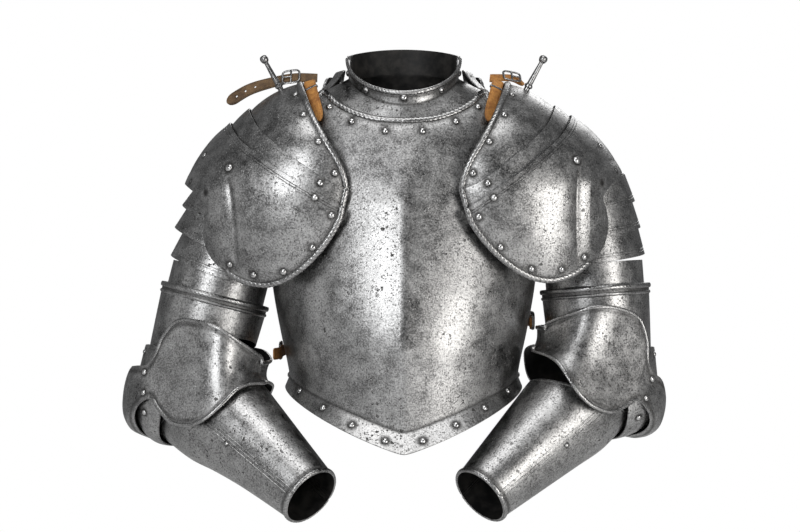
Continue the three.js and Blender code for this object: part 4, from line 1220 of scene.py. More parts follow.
@dataclass
class Gorget:
    """The two halves round the neck, with their rivets and the two side studs."""

    shop: Workshop | None = None
    half_width: float = 70
    half_depth: float = 71
    flare: float = 2
    crease: Triple = (-7, 26, 34)
    rim: Triple = (11, 55, 64)
    skirt_width: float = 158
    skirt_depth: float = 84
    skirt: Triple = (-48, -5, -22)
    sag: float = 5
    sweeps: Pair = (90, 95)
    rear_inset: float = 2.7
    stud_place: Pair = (0.93, 0.55)
    rivets: Pairs = ((70.6, 32.8), (47.4, 11.8), (0, 1.8))
    stud: Pairs = ((0, 0), (2.6, 0), (2.6, 2.4), (4.2, 3), (3.9, 4.4), (2.6, 5.3), (0, 5.6))

    @staticmethod
    def _round(levels: Sequence[float], turn: Array, power: float = 1.5) -> Array:
        """A level that goes from the front over the side to the back."""
        c = np.cos(turn)
        share = np.where(c > 0, np.abs(c) ** power, np.abs(c) ** 1.5)
        return lerp(levels[1], np.where(c > 0, levels[0], levels[2]), share)

    def skin(self, turn: Array, v: Array, inset: float) -> Array:
        """The gorget's skin at an angle from the front."""
        s, c = np.sin(turn), np.cos(turn)
        level = self._round(self.crease, turn) - inset
        crease = np.stack([(self.half_width - inset) * s, -(self.half_depth - inset) * c, level], -1)
        rim = crease * np.array([1 + self.flare / self.half_width, 1 + self.flare / self.half_depth, 1])
        rim[..., 2] = self._round(self.rim, turn, 0.9)
        level = self._round(self.skirt, turn) - inset
        edge = np.stack([self.skirt_width * signed_power(s, 0.85), -self.skirt_depth * c, level], -1)
        low = np.minimum(v, 1)[..., None]
        point = lerp(edge, crease, low)
        point[..., 2] -= self.sag * np.sin(np.pi * np.minimum(v, 1))
        return np.where((v >= 1)[..., None], lerp(crease, rim, v[..., None] - 1), point)

    def half(self, front: bool) -> Skin:
        """The skin of one half over shares."""
        inset = 0.0 if front else self.rear_inset
        middle, half = (0, self.sweeps[0]) if front else (180, self.sweeps[1])
        return lambda u, v: self.skin(np.radians(middle + lerp(-half, half, u)), v, inset)

    def build(self) -> None:
        """Makes both halves and the studs."""
        inside = (0.0, 0.0, -60.0)
        rows = Rows((26, 16), start=(0, 1.5, 3), end=(0, 2.5, 5, 7.5), stops=(1.0,))
        front = Plate(self.half(True), Rows((110,)), rows, inside, 2.0)
        places = [place_on(front.skin, p, (0.5, 1, 1, 2)) for p in self.rivets]
        rivets = [(u, v) for u, v in places] + [(1 - u, v) for u, v in places if u > 0.51]
        self.shop.plate("gorget_front", front, [("v1", None, 0.8)], rivets, folds=(1.0,))
        rear = Plate(self.half(False), Rows((110,)), rows, inside, 2.0)
        self.shop.plate("gorget_rear", rear, [("v1", faded_ends(30, 1), 0.8)], folds=(1.0,))
        for node, sign in (("left_gorget_latch_stud", 1.0), ("right_gorget_pivot_rivet", -1.0)):
            self._stud(node, sign)

    def _stud(self, node: str, sign: float) -> None:
        """A stud at the side of the front half."""
        skin, (u, v) = self.half(True), np.array(self.stud_place)[:, None]
        normal = unit(upright(skin, u, v))[0]
        normal = normal if normal[2] > 0 else -normal
        base = mirrored(skin(u, v)[0] + normal * CLEARANCE, sign)
        obj = Forge.lathe(node + "_steel", self.stud, base, mirrored(normal, sign))
        self.shop.dress(obj, node, self.shop.finishes.bright, Slot.BRIGHT)


# Pauldrons


@dataclass
class Pauldron:
    """The shoulder plates of one side: domes round two pivot lines and three hooped lames."""

    shop: Workshop
    side: Side
    top_pivot: Pair = (107, -99)
    main_pivot: Pair = (115, -117)
    top_size: Pair = (121.5, 131)
    second_size: Pair = (134, 138)
    main_size: Pair = (138, 146)
    lifts: Pair = (2.5, -2.5)
    bearings: Floats = (-200, -160, -125, -90, -60, -40, -25, -15, -5, 6.3, 12.4, 22, 31, 42, 60)
    radii: Floats = (
        1.2, 1.25, 1.6, 1.69, 1.55, 1.37, 1.256, 1.22, 1.2, 1.181, 1.15, 1.095, 1.05, 1, 1,
    )
    top_inner: Pairs = (
        (-0.32, -0.112), (-0.304, 0.035), (-0.242, 0.2), (-0.112, 0.416), (0.019, 0.648), (0.119, 0.862),
        (0.177, 0.984),
    )
    top_outer: Pairs = (
        (-0.2, -0.25), (0.03, -0.14), (0.27, 0.08), (0.5, 0.31), (0.68, 0.5), (0.79, 0.613),
    )
    second_inner: Pairs = (
        (-0.356, 0.052), (-0.172, 0.124), (0.043, 0.273), (0.282, 0.454), (0.476, 0.626), (0.597, 0.802),
    )
    second_outer: Pairs = (
        (-0.27, -0.25), (0.03, -0.16), (0.28, 0.07), (0.52, 0.24), (0.72, 0.38), (0.857, 0.515),
    )
    main_inner: Pairs = ((-42, -16), (-5, 6), (29, 28), (59, 50), (86, 72), (102.6, 92.4))
    main_rope: Pairs = (
        (-42, -16), (-37, -33), (-21, -58), (2, -83), (28, -102), (51, -110), (71, -110), (91, -104),
        (109, -92),
    )
    main_outer: Pairs = (
        (109, -92), (122, -80), (132, -62), (135, -43), (133, -25), (130, -9), (144, 7), (162, 18),
    )
    main_crest: Pairs = ((102.6, 92.4), (123, 75), (139, 57), (155, 34), (162, 18))
    lame_centres: tuple = (
        ((226.4, -145), (233, -174.9), (238, -204.5)),
        ((221, -168.6), (228.5, -192.3), (231.4, -222.4)),
    )
    lame_leans: tuple = ((13, 10, 6.5), (29, 25, 20))
    lame_length: float = 37
    lame_sweep: float = 116
    lame_middle: float = -2
    lame_radii: Pair = (65.1, 70.5)
    top_rivets: Pairs = ((135.6, 6.1), (124.3, -18.2), (104.9, -51.3), (84.7, -90))
    second_rivets: Pairs = ((102.5, -101.9),)
    main_rivets: Pairs = (
        (109.2, -119.2), (89.8, -142), (115.1, -180.7), (152.4, -209.6), (190.2, -212.6), (219.8, -199.5),
        (214.7, -79.4), (243.4, -109.6), (249, -64), (266, -97),
    )
    top_rivet_sizes: Floats = (0.9, 1, 1, 1)
    main_rivet_sizes: Floats = (1, 1, 1, 1, 1, 1, 1.25, 0.9, 0.8, 0.8)
    crease_levels: Floats = (-92, -110, -130, -150, -170, -190, -206)
    crease_height: float = 3.4
    crease_depth: float = 2.6

    @staticmethod
    def _halved(v: Array) -> Array:
        """The share from either end up to the crown."""
        return 1 - (1 - np.where(v <= 0.5, v * 2, (1 - v) * 2)) ** 1.5

    def _dome(self, pivot: Sequence[float], size: Sequence[float], inner: Sequence, outer: Sequence) -> Skin:
        """The skin of a visor-like lame between two edges on a dome.

        Args:
            pivot: The x and z of the dome's middle, in mm.
            size: The dome's radius and its reach to the front and the back, in mm.
            inner: The edge at the neck, as shares of the radius.
            outer: The edge at the arm, as shares of the radius.

        Returns:
            The skin.
        """
        radius, depth = size

        def on_dome(edge: Sequence, w: Array) -> Array:
            """Points of an edge on a dome of radius one."""
            at = along(edge, w)
            reach = np.hypot(at[..., 0], at[..., 1])
            cap = np.minimum(reach, 1)
            out = np.sqrt(np.maximum(1 - cap * cap, 0)) * np.maximum(1 - w**3, 0) ** 0.01
            return np.stack([at[..., 0] / reach * cap, out, at[..., 1] / reach * cap], -1)

        def skin(u: Array, v: Array) -> Array:
            """The lame's skin."""
            w = self._halved(v)
            point = unit(lerp(on_dome(inner, w), on_dome(outer, w), u[..., None]))
            x, y, z = np.moveaxis(point, -1, 0)
            y = depth * np.where(v <= 0.5, -y, y)
            return np.stack([pivot[0] + radius * x, y, pivot[1] + radius * z], -1)

        return skin

    def _radius(self, x: Array, z: Array) -> Array:
        """The main plate's reach from its pivot line at a bearing."""
        bearing = np.degrees(np.arctan2(z, x))
        bearing = np.where(bearing > 100, bearing - 360, bearing)
        return self.main_size[0] * through(self.bearings, self.radii, bearing)

    def _main(self, u: Array, v: Array) -> Array:
        """The main plate's skin."""
        w = self._halved(v)

        def raised(at: Array, crown: Array | bool) -> Array:
            """Flat points put on a dome of radius one, or on its crown."""
            x, z = at[..., 0], at[..., 1]
            reach = np.hypot(x, z)
            cap = np.where(crown, 1, np.minimum(reach / self._radius(x, z), 1))
            return np.stack([x / reach * cap, np.sqrt(np.maximum(1 - cap * cap, 0)), z / reach * cap], -1)

        def side_of(points: Sequence, share: Array) -> Array:
            """Points of a side edge on the dome."""
            return raised(along(points, share), share >= 1)

        a, b = u[..., None], w[..., None]
        point = side_of(self.main_inner, w) * (1 - a) + side_of(self.main_outer, w) * a
        point = point + raised(along(self.main_rope, u), False) * (1 - b)
        point = point + raised(along(self.main_crest, u), True) * b
        for edge, part in ((self.main_inner, 1 - a), (self.main_outer, a)):
            point = point - side_of(edge, 0 * w) * part * (1 - b) - side_of(edge, 0 * w + 1) * part * b
        point = unit(point)
        radius = self._radius(point[..., 0], point[..., 2])
        y = self.main_size[1] * point[..., 1] * np.where(v <= 0.5, -1, 1)
        x = self.main_pivot[0] + radius * point[..., 0]
        return np.stack([x, y, self.main_pivot[1] + radius * point[..., 2]], -1)

    def _lame(self, k: int) -> Skin:
        """The skin of a hooped lame."""
        lean = math.radians(self.lame_leans[self.side.index][k])
        up = np.array([-math.sin(lean), 0, math.cos(lean)])
        outward = np.array([math.cos(lean), 0, math.sin(lean)])
        x, z = self.lame_centres[self.side.index][k]
        centre = np.array([x, self.lame_middle, z])

        def skin(u: Array, v: Array) -> Array:
            """The lame's skin."""
            turn = np.radians(lerp(-self.lame_sweep, self.lame_sweep, u))[..., None]
            radius = lerp(*self.lame_radii, v)[..., None]
            round_it = outward * radius * np.cos(turn) + np.array([0, 1, 0]) * radius * np.sin(turn)
            return centre + up * (self.lame_length * (1 - v))[..., None] + round_it

        return skin

    @staticmethod
    def _lifted(pivot: Sequence[float], degrees: float) -> Matrix:
        """A turn that lifts the outer end about a front-to-back line."""
        there = Matrix.Translation((pivot[0], 0, pivot[1]))
        return there @ Matrix.Rotation(math.radians(-degrees), 4, "Y") @ there.inverted()

    @staticmethod
    def _crease_line(z: Array) -> Array:
        """How far out the crease of the main plate runs at a level."""
        return 217 + 5 * np.sin((z + 80) / 60)

    def _crease(self, u: Array, v: Array, points: Array) -> Array:
        """The sharp valley down the main plate, and the strip outside it that stands up."""
        x, z = points[..., 0], points[..., 2]
        reach = x - self._crease_line(z)
        fade = np.clip((z + 212) / 16, 0, 1) * np.clip((-84 - z) / 22, 0, 1)
        front = np.clip(-points[..., 1] / 25, 0, 1)
        strip, valley = np.clip(reach / 14, 0, 1), np.exp(-np.abs(reach) / 5)
        return fade * front * (self.crease_height * strip - self.crease_depth * valley)

    @staticmethod
    def _rivet_places(skin: Skin, spots: Sequence, sizes: Sequence[float], alone: int = 0) -> list[tuple]:
        """Rivets where they are seen from the front, and again behind, without the first few."""
        places = [(*place_on(skin, spot, (0, 1, 0, 0.5)), size) for spot, size in zip(spots, sizes)]
        return places + [(u, 1 - v, size) for u, v, size in places[alone:]]

    def build(self) -> None:
        """Makes the plates of one side."""
        name, sign, shop = self.side.word, self.side.sign, self.shop
        lift = self.lifts[self.side.index] / 2
        second = self._lifted(self.top_pivot, lift)
        main = second @ self._lifted(self.main_pivot, lift)
        inside = (self.main_pivot[0], 0.0, self.main_pivot[1])
        common = dict(inside=inside, sign=sign)
        lined = dict(end=EDGE_LINES, end_rise=EDGE_LINE_RISES)
        skin = self._dome(self.top_pivot, self.top_size, self.top_inner, self.top_outer)
        plate = Plate(skin, Rows((26,), start=ROPED, **lined), Rows((150,)), **common)
        rivets = self._rivet_places(skin, self.top_rivets, self.top_rivet_sizes, 1)
        hole = (*shoulder_pin_line(sign), PIN_HOLE)
        shop.plate(name + "_pauldron_top_lame", plate, [("u0", None)], rivets, hole=hole)

        ropes = [("v0", None), ("v1", None)]
        skin = self._dome(self.main_pivot, self.second_size, self.second_inner, self.second_outer)
        down = Rows((130,), start=ROPED, end=ROPED)
        plate = Plate(skin, Rows((22,), start=(0, 1.5, 3), **lined), down, place=second, **common)
        rivets = self._rivet_places(skin, self.second_rivets, (1,))
        shop.plate(name + "_pauldron_second_lame", plate, ropes, rivets)

        across = Rows((96,), start=EDGE_LINES, start_rise=EDGE_LINE_RISES, end=(0, 1.5, 3))
        down = Rows((170,), start=ROPED, end=ROPED)
        plate = Plate(self._main, across, down, place=main, relief=self._crease, **common)
        rivets = self._rivet_places(self._main, self.main_rivets, self.main_rivet_sizes)
        line = [(float(self._crease_line(np.array(z))), z) for z in self.crease_levels]
        crease = [place_on(self._main, spot, (0, 1, 0, 0.5)) for spot in line]
        shop.plate(name + "_pauldron_main_plate", plate, ropes, rivets, grooves=(crease,))

        for k, (x, z) in enumerate(self.lame_centres[self.side.index]):
            across, down = Rows((110,), start=(0, 1.5), end=(0, 1.5)), Rows((12,), **lined)
            plate = Plate(self._lame(k), across, down, (x, 0.0, z), sign=sign)
            shop.plate(f"{name}_pauldron_lower_lame_{k + 1}", plate)


def shoulder_pin_line(sign: float) -> tuple[Array, Array]:
    """The foot in mm and the direction of a shoulder pin."""
    direction = unit(np.array(PIN_DIRECTION))
    base = Gorget().half(True)(*np.array(PIN_PLACE)[:, None])[0] + direction * PIN_LIFT
    return mirrored(base, sign), mirrored(direction, sign)


def cut_round(obj: Obj, base: Array, direction: Array, radius: float) -> None:
    """Cuts a round hole along a line through a piece.

    Args:
        obj: The piece.
        base: A point of the line, in mm.
        direction: The line's direction.
        radius: The hole's radius, in mm.
    """
    sizes = dict(vertices=32, radius=radius * MM, depth=0.14)
    tool = Forge.added("drill", bpy.ops.mesh.primitive_cylinder_add, **sizes)
    tool.data.transform(Forge.frame_at(base * MM, direction))
    Forge.apply(obj, "BOOLEAN", operation="DIFFERENCE", object=tool, solver="EXACT")
    bpy.data.objects.remove(tool)


# Arms


@dataclass
class Arm:
    """The upper cannon, elbow and lower cannon of one side."""

    shop: Workshop
    side: Side
    ring_centres: tuple = ((244.5, -10), (241.5, -5))
    ring_levels: Pair = (-242, -252)
    length: float = 116
    sleeve_radius: float = 62.6
    bead: float = 2.8
    cannon_radii: Pair = (62, 68.5)
    cannon_ends: Pair = (12, 73)
    leans: Pair = (4.3, 14.3)
    forward: float = 5
    turn: float = 35
    bends: Pair = (58.5, 68)
    rests: Pair = (28, 15)
    angles: Floats = (0, 22, 44, 65, 80, 88, 94, 106, 125, 150, 180)
    tops: tuple = (
        (12, 12, 14, 17, 18, 30, 52, 72, 68, 46, 31),
        (22, 22, 20, 18, 18, 30, 52, 72, 68, 46, 31),
    )
    bottoms: tuple = (
        (-51, -48, -41, -32, -27, -29, -42, -60, -60, -24, -12),
        (-69, -64, -51, -35, -27, -29, -42, -60, -60, -15, -3),
    )
    cop_shares: Floats = (0, 0.03, 0.09, 0.29, 0.58, 0.81, 0.94, 1)
    cop_reaches: tuple = (
        (0.69, 0.79, 0.89, 1, 1.01, 0.95, 0.86, 0.78),
        (0.61, 0.73, 0.87, 1, 1.01, 0.95, 0.87, 0.79),
    )
    cop_reach: float = 93
    wing_reach: float = 104
    couter_half_width: float = 74
    wing_groove: float = 9
    wing_flares: Pair = (15, 7)
    fade_start: float = 84
    forearm_levels: Floats = (0, 30, 70, 110, 160, 243)
    forearm_fullness: tuple = ((6, 4, 1, 0, 0, 0), (20, 16.5, 8.5, 3, 0, 0))
    upper_lame_bulges: Floats = (70, 70.5, 72.5, 78.5)
    lame_sweep: float = 84
    lame_spans: tuple = ((-52, -14), (-42, 6))
    lame_bulges: tuple = ((77, 77.5, 78.5, 79.5, 80, 80), (83.5, 88, 89, 87, 82, 78))
    lame_powers: Pair = (1.15, 1.3)
    lame_flares: Pair = (1.0, 0.3)
    forearm_radii: Floats = (57, 59, 62.3, 57.3, 50, 38)
    forearm_length: float = 243
    forearm_scoop: float = 82
    seam_gap: float = 0.05
    hinge_levels: Pair = (104, 206)
    knuckle_length: float = 8

    def frame(self) -> Matrix:
        """The arm's frame: x to the elbow's point, z up the upper arm, in mm."""
        lean, forward = math.radians(self.leans[self.side.index]), math.radians(self.forward)
        up = Vector((-math.sin(lean), math.sin(forward), math.cos(lean))).normalized()
        lateral = Vector((1, 0, 0))
        lateral = (lateral - up * lateral.dot(up)).normalized()
        back = up.cross(lateral)
        turn = math.radians(self.turn)
        point = lateral * math.cos(turn) + back * math.sin(turn)
        bend = up.cross(point)
        ring = Vector((*self.ring_centres[self.side.index], self.ring_levels[self.side.index]))
        place = Matrix((point, bend, up)).transposed().to_4x4()
        place.translation = ring - up * self.length
        return place

    def bent(self, degrees: float) -> Matrix:
        """The arm's frame turned about the elbow's axis."""
        return self.frame() @ Matrix.Rotation(math.radians(degrees), 4, "Y")

    def _sleeve(self, u: Array, v: Array) -> Array:
        """The turning sleeve above the upper cannon, with the bead at its foot."""
        turn = 2 * np.pi * u
        radius = self.sleeve_radius + self.bead * np.clip((0.3 - v) / 0.12, 0, 1)
        level = lerp(self.length - 8, self.length + 33, v)
        return np.stack([radius * np.cos(turn), radius * np.sin(turn), level], -1)

    def _cannon(self, u: Array, v: Array) -> Array:
        """The upper cannon's skin."""
        turn = 2 * np.pi * u
        inward = (1 - np.cos(turn)) / 2
        end = lerp(*self.cannon_ends, inward**0.8)
        level = lerp(self.length + ROPE_WIDTH / 2, end, v)
        radius = lerp(*self.cannon_radii, np.clip(level / self.length, 0, 1) ** 0.7)
        return np.stack([radius * np.cos(turn), radius * np.sin(turn), level], -1)

    def _elbow_lame(
        self,
        span: Sequence[float],
        widths: Sequence[float],
        powers: Sequence[Sequence[float]],
        radii: Sequence[float],
        flare: float = 1.0,
    ) -> Skin:
        """The skin of a lame above or below the elbow's cup.

        Args:
            span: The angles of its low and its high edge, in degrees.
            widths: Its half width at both edges, in mm.
            powers: How round its ends are outward and upward, each at both edges.
            radii: Its reach at even steps from the low to the high edge, in mm.
            flare: How soon it widens from its low edge; 1 is evenly, less is sooner.

        Returns:
            The skin.
        """

        def skin(u: Array, v: Array) -> Array:
            """The lame's skin."""
            sweep = np.radians(lerp(-self.lame_sweep, self.lame_sweep, u))
            turn = np.radians(lerp(*span, v))
            radius = through(np.linspace(0, 1, len(radii)), radii, v)
            x = radius * np.cos(sweep) ** lerp(*powers[0], v) * np.cos(turn)
            y = lerp(*widths, v**flare) * np.sin(sweep)
            return np.stack([x, y, radius * np.cos(sweep) ** lerp(*powers[1], v) * np.sin(turn)], -1)

        return skin

    def _couter_angle(self, u: Array) -> Array:
        """The angle round the elbow in degrees, from the inner side round its point."""
        away = np.abs(2 * u - 1)
        steps = np.linspace(0, 1, len(self.angles))
        return np.where(u < 0.5, -1, 1) * through(steps, self.angles, away)

    def _couter(self, u_any: Array, v: Array) -> Array:
        """The skin of the elbow's cup and its wing."""
        u = np.mod(u_any, 1.0)
        degrees = self._couter_angle(u)
        turn = np.radians(degrees)
        rear, outward = degrees > 0, np.cos(turn) > 0
        away = np.clip(1 - np.cos(turn), 0, 1)
        index, size = self.side.index, np.abs(degrees)
        top = through(self.angles, self.tops[index], size) * np.where(rear, lerp(1, 0.75, away), 1)
        bottom = through(self.angles, self.bottoms[index], size) * np.where(rear, lerp(1, 0.45, away), 1)
        reach = np.where(outward, self.cop_reach, self.wing_reach)
        power = np.where(outward, 2.1, np.where(rear, 2.2, 5.0))
        c, s = np.abs(np.cos(turn)), np.abs(np.sin(turn))
        scale = (c**power + s**power) ** (-1 / power)
        edge = (2 * v - 1) ** 2
        cop = np.where(outward, c * (1 - through(self.cop_shares, self.cop_reaches[index], v)), 0)
        low_flare, high_flare = self.wing_flares
        band = np.where(outward, 0, c**4 * edge * np.where(v > 0.5, high_flare, low_flare))
        groove = np.where(outward, 0, c * self.wing_groove * (1 - edge) ** 2)
        x = np.cos(turn) * (reach * scale * (1 - cop) + band)
        y = np.sin(turn) * self.couter_half_width * scale - np.sign(np.sin(turn)) * groove * s
        return np.stack([x, y, lerp(bottom, top, v)], -1)

    def _forearm(self, low: float, high: float) -> Skin:
        """The skin of one half of the lower cannon, between two angles in degrees."""

        def skin(u: Array, v: Array) -> Array:
            """The half's skin."""
            turn = np.radians(lerp(low, high, u))
            inward = (1 - np.cos(turn)) / 2
            level = lerp(self.forearm_scoop * inward**0.8, self.forearm_length, v)
            radius = through(self.forearm_levels, self.forearm_radii, level)
            full = through(self.forearm_levels, self.forearm_fullness[self.side.index], level)
            full = full * np.maximum(np.cos(turn), 0)
            return np.stack([(radius + full) * np.cos(turn), radius * np.sin(turn), -level], -1)

        return skin

    def build(self) -> None:
        """Makes the arm of one side."""
        name, sign, shop = self.side.word, self.side.sign, self.shop
        common = dict(inside=(0.0, 0.0, self.length / 2), closed=True, sign=sign, place=self.frame())
        sleeve = Plate(self._sleeve, Rows((120,)), Rows((24,)), **common)
        shop.plate(name + "_upper_cannon_sleeve", sleeve)
        rows = Rows(
            (34,),
            start=(0.0, 2.5, 5.0, 7.5, 9.2, 9.9, 10.8, 12.2, 13.2, 13.9, 15.5),
            start_rise=(0.0, 0.0, 0.0, 0.0, 0.0, 1.0, 1.6, 1.6, 1.0, 0.0, 0.0),
            end=(0, 1.5, 4.0, 4.6, 5.2, 7.0),
            end_rise=(0, 0, 0, -0.6, 0, 0),
        )
        cannon = Plate(self._cannon, Rows((130,)), rows, **common)
        shop.plate(name + "_upper_cannon", cannon, [("v0", None, 0.85)])
        self._elbow()
        self._lower()

    def _elbow(self) -> None:
        """Makes the elbow's lames and its cup."""
        name, shop, index = self.side.word, self.shop, self.side.index
        common = dict(inside=(0.0, 0.0, 0.0), sign=self.side.sign)
        lines, rises = EDGE_LINES[:6], EDGE_LINE_RISES[:6]
        upper = self._elbow_lame((-8, 38), (66.4, 67.4), ((0.75, 1.15), (0.3, 0.1)), self.upper_lame_bulges)
        powers = ((self.lame_powers[index], 0.75), (0.5, 0.3))
        bulges, flare = self.lame_bulges[index], self.lame_flares[index]
        lower = self._elbow_lame(self.lame_spans[index], (61.8, 71.3), powers, bulges, flare)
        lames = (
            ("upper", upper, Rows((14,), end=lines, end_rise=rises), 0.2, (0.85, 0.8), 0.19),
            ("lower", lower, Rows((20,), start=lines, start_rise=rises), 0.6, (0.45, 0.9), 0.16),
        )
        for word, skin, rows, share, rivet, edge in lames:
            plate = Plate(skin, Rows((90,)), rows, place=self.bent(share * self.bends[index]), **common)
            rivets = [(edge, *rivet), (1 - edge, *rivet)]
            shop.plate(f"{name}_elbow_{word}_lame", plate, (), rivets)
        rows, place = Rows((46,), start=ROPED, end=ROPED), self.bent(self.rests[index])
        cup = Plate(self._couter, Rows((200,)), rows, closed=True, place=place, **common)
        ropes = [("v0", self._wing_fade, 0.66), ("v1", self._wing_fade, 0.66)]
        rivets = [(u, v, 0.9) for u in (0.31, 0.69) for v in (0.8, 0.22)]
        shop.plate(name + "_couter", cup, ropes, rivets)

    def _wing_fade(self, u: Array, v: Array) -> Array:
        """The rope's size along the couter: full on the wing, none on the cup."""
        return np.clip((np.abs(self._couter_angle(np.mod(u, 1.0))) - self.fade_start) / 6, 0, 1)

    def _hinge_line(self) -> tuple[Array, Array]:
        """The start and the direction of the lower cannon's hinge line."""
        radii = through(self.forearm_levels, self.forearm_radii, self.hinge_levels)
        at = [np.array([0, radius + 3, -level]) for radius, level in zip(radii, self.hinge_levels)]
        return at[0], unit(at[1] - at[0])

    def _lower(self) -> None:
        """Makes the lower cannon's halves, its hinges and their pins."""
        name, shop = self.side.word, self.shop
        place = self.bent(self.bends[self.side.index])
        start, direction = self._hinge_line()
        inset, gap = self.knuckle_length * 1.5, self.seam_gap
        heights = (inset, self.hinge_levels[1] - self.hinge_levels[0] - inset)
        middle = (0.0, 0.0, -self.forearm_length / 2)
        seam, rises = (0, 1.2, 3.6, 4.2, 4.8, 6), (0, 0, 0, -0.6, 0, 0)
        across = Rows((60,), start=seam, end=seam, start_rise=rises, end_rise=rises)
        down = Rows((70,), start=(0, 1.4, 2.8, 3.4, 4.0, 5.5), end=ROPED, start_rise=(0, 0, 0, -0.7, 0, 0))
        halves = (
            ("outer", -90 + gap, 90 - gap, (-1, 1), [(0.035, 0.44, 0.6)]),
            ("inner", 90 + gap, 270 - gap, (0,), []),
        )
        for word, low, high, offsets, rivets in halves:
            plate = Plate(self._forearm(low, high), across, down, middle, sign=self.side.sign, place=place)
            knuckles = [self._knuckle(start, direction, at, k, place) for at in heights for k in offsets]
            shop.plate(f"{name}_lower_cannon_{word}", plate, [("v1", None, 0.8)], rivets, knuckles)
        for k, height in enumerate(heights):
            self._pin(f"{name}_vambrace_hinge_pin_{k + 1}", start, direction, height, place)

    def _turned(self, name: str, profile: Sequence, base: Array, direction: Array, place: Matrix) -> Obj:
        """A turned piece in the forearm's frame."""
        turn, sign = np.array(place), self.side.sign
        foot = mirrored(turn[:3, :3] @ base + turn[:3, 3], sign)
        return Forge.lathe(name, profile, foot, mirrored(turn[:3, :3] @ direction, sign), 20)

    def _knuckle(self, start: Array, direction: Array, height: float, k: int, place: Matrix) -> Obj:
        """One knuckle of a hinge, rounded at its ends.

        Args:
            start: The start of the hinge line, in mm.
            direction: Its direction.
            height: How far along it the hinge's middle lies, in mm.
            k: The knuckle's number, from minus one to one.
            place: The forearm's frame.

        Returns:
            The knuckle.
        """
        end = self.knuckle_length
        foot = height + k * (end + CLEARANCE) - end / 2
        profile = [(1.9, 0), (3.4, 0), (3.9, 0.5), (3.9, end - 0.5), (3.4, end), (1.9, end), (1.9, 0)]
        obj = self._turned("knuckle", profile, start + direction * foot, direction, place)
        obj.data.materials.append(self.shop.finishes.steel)
        return obj

    def _pin(self, node: str, start: Array, direction: Array, height: float, place: Matrix) -> None:
        """A hinge pin with a head at each end."""
        reach = self.knuckle_length * 1.5 + 2 * CLEARANCE
        r, head, end = 1.4, 2.2, 2 * reach
        profile = [(0, -r), (1.6, -r), (head, -0.4), (head, 0), (r, 0)]
        profile += [(r, end), (head, end), (head, end + 0.4), (1.6, end + r), (0, end + r)]
        obj = self._turned(node + "_steel", profile, start + direction * (height - reach), direction, place)
        self.shop.dress(obj, node, self.shop.finishes.bright, Slot.BRIGHT)


# Straps, buckles and pins


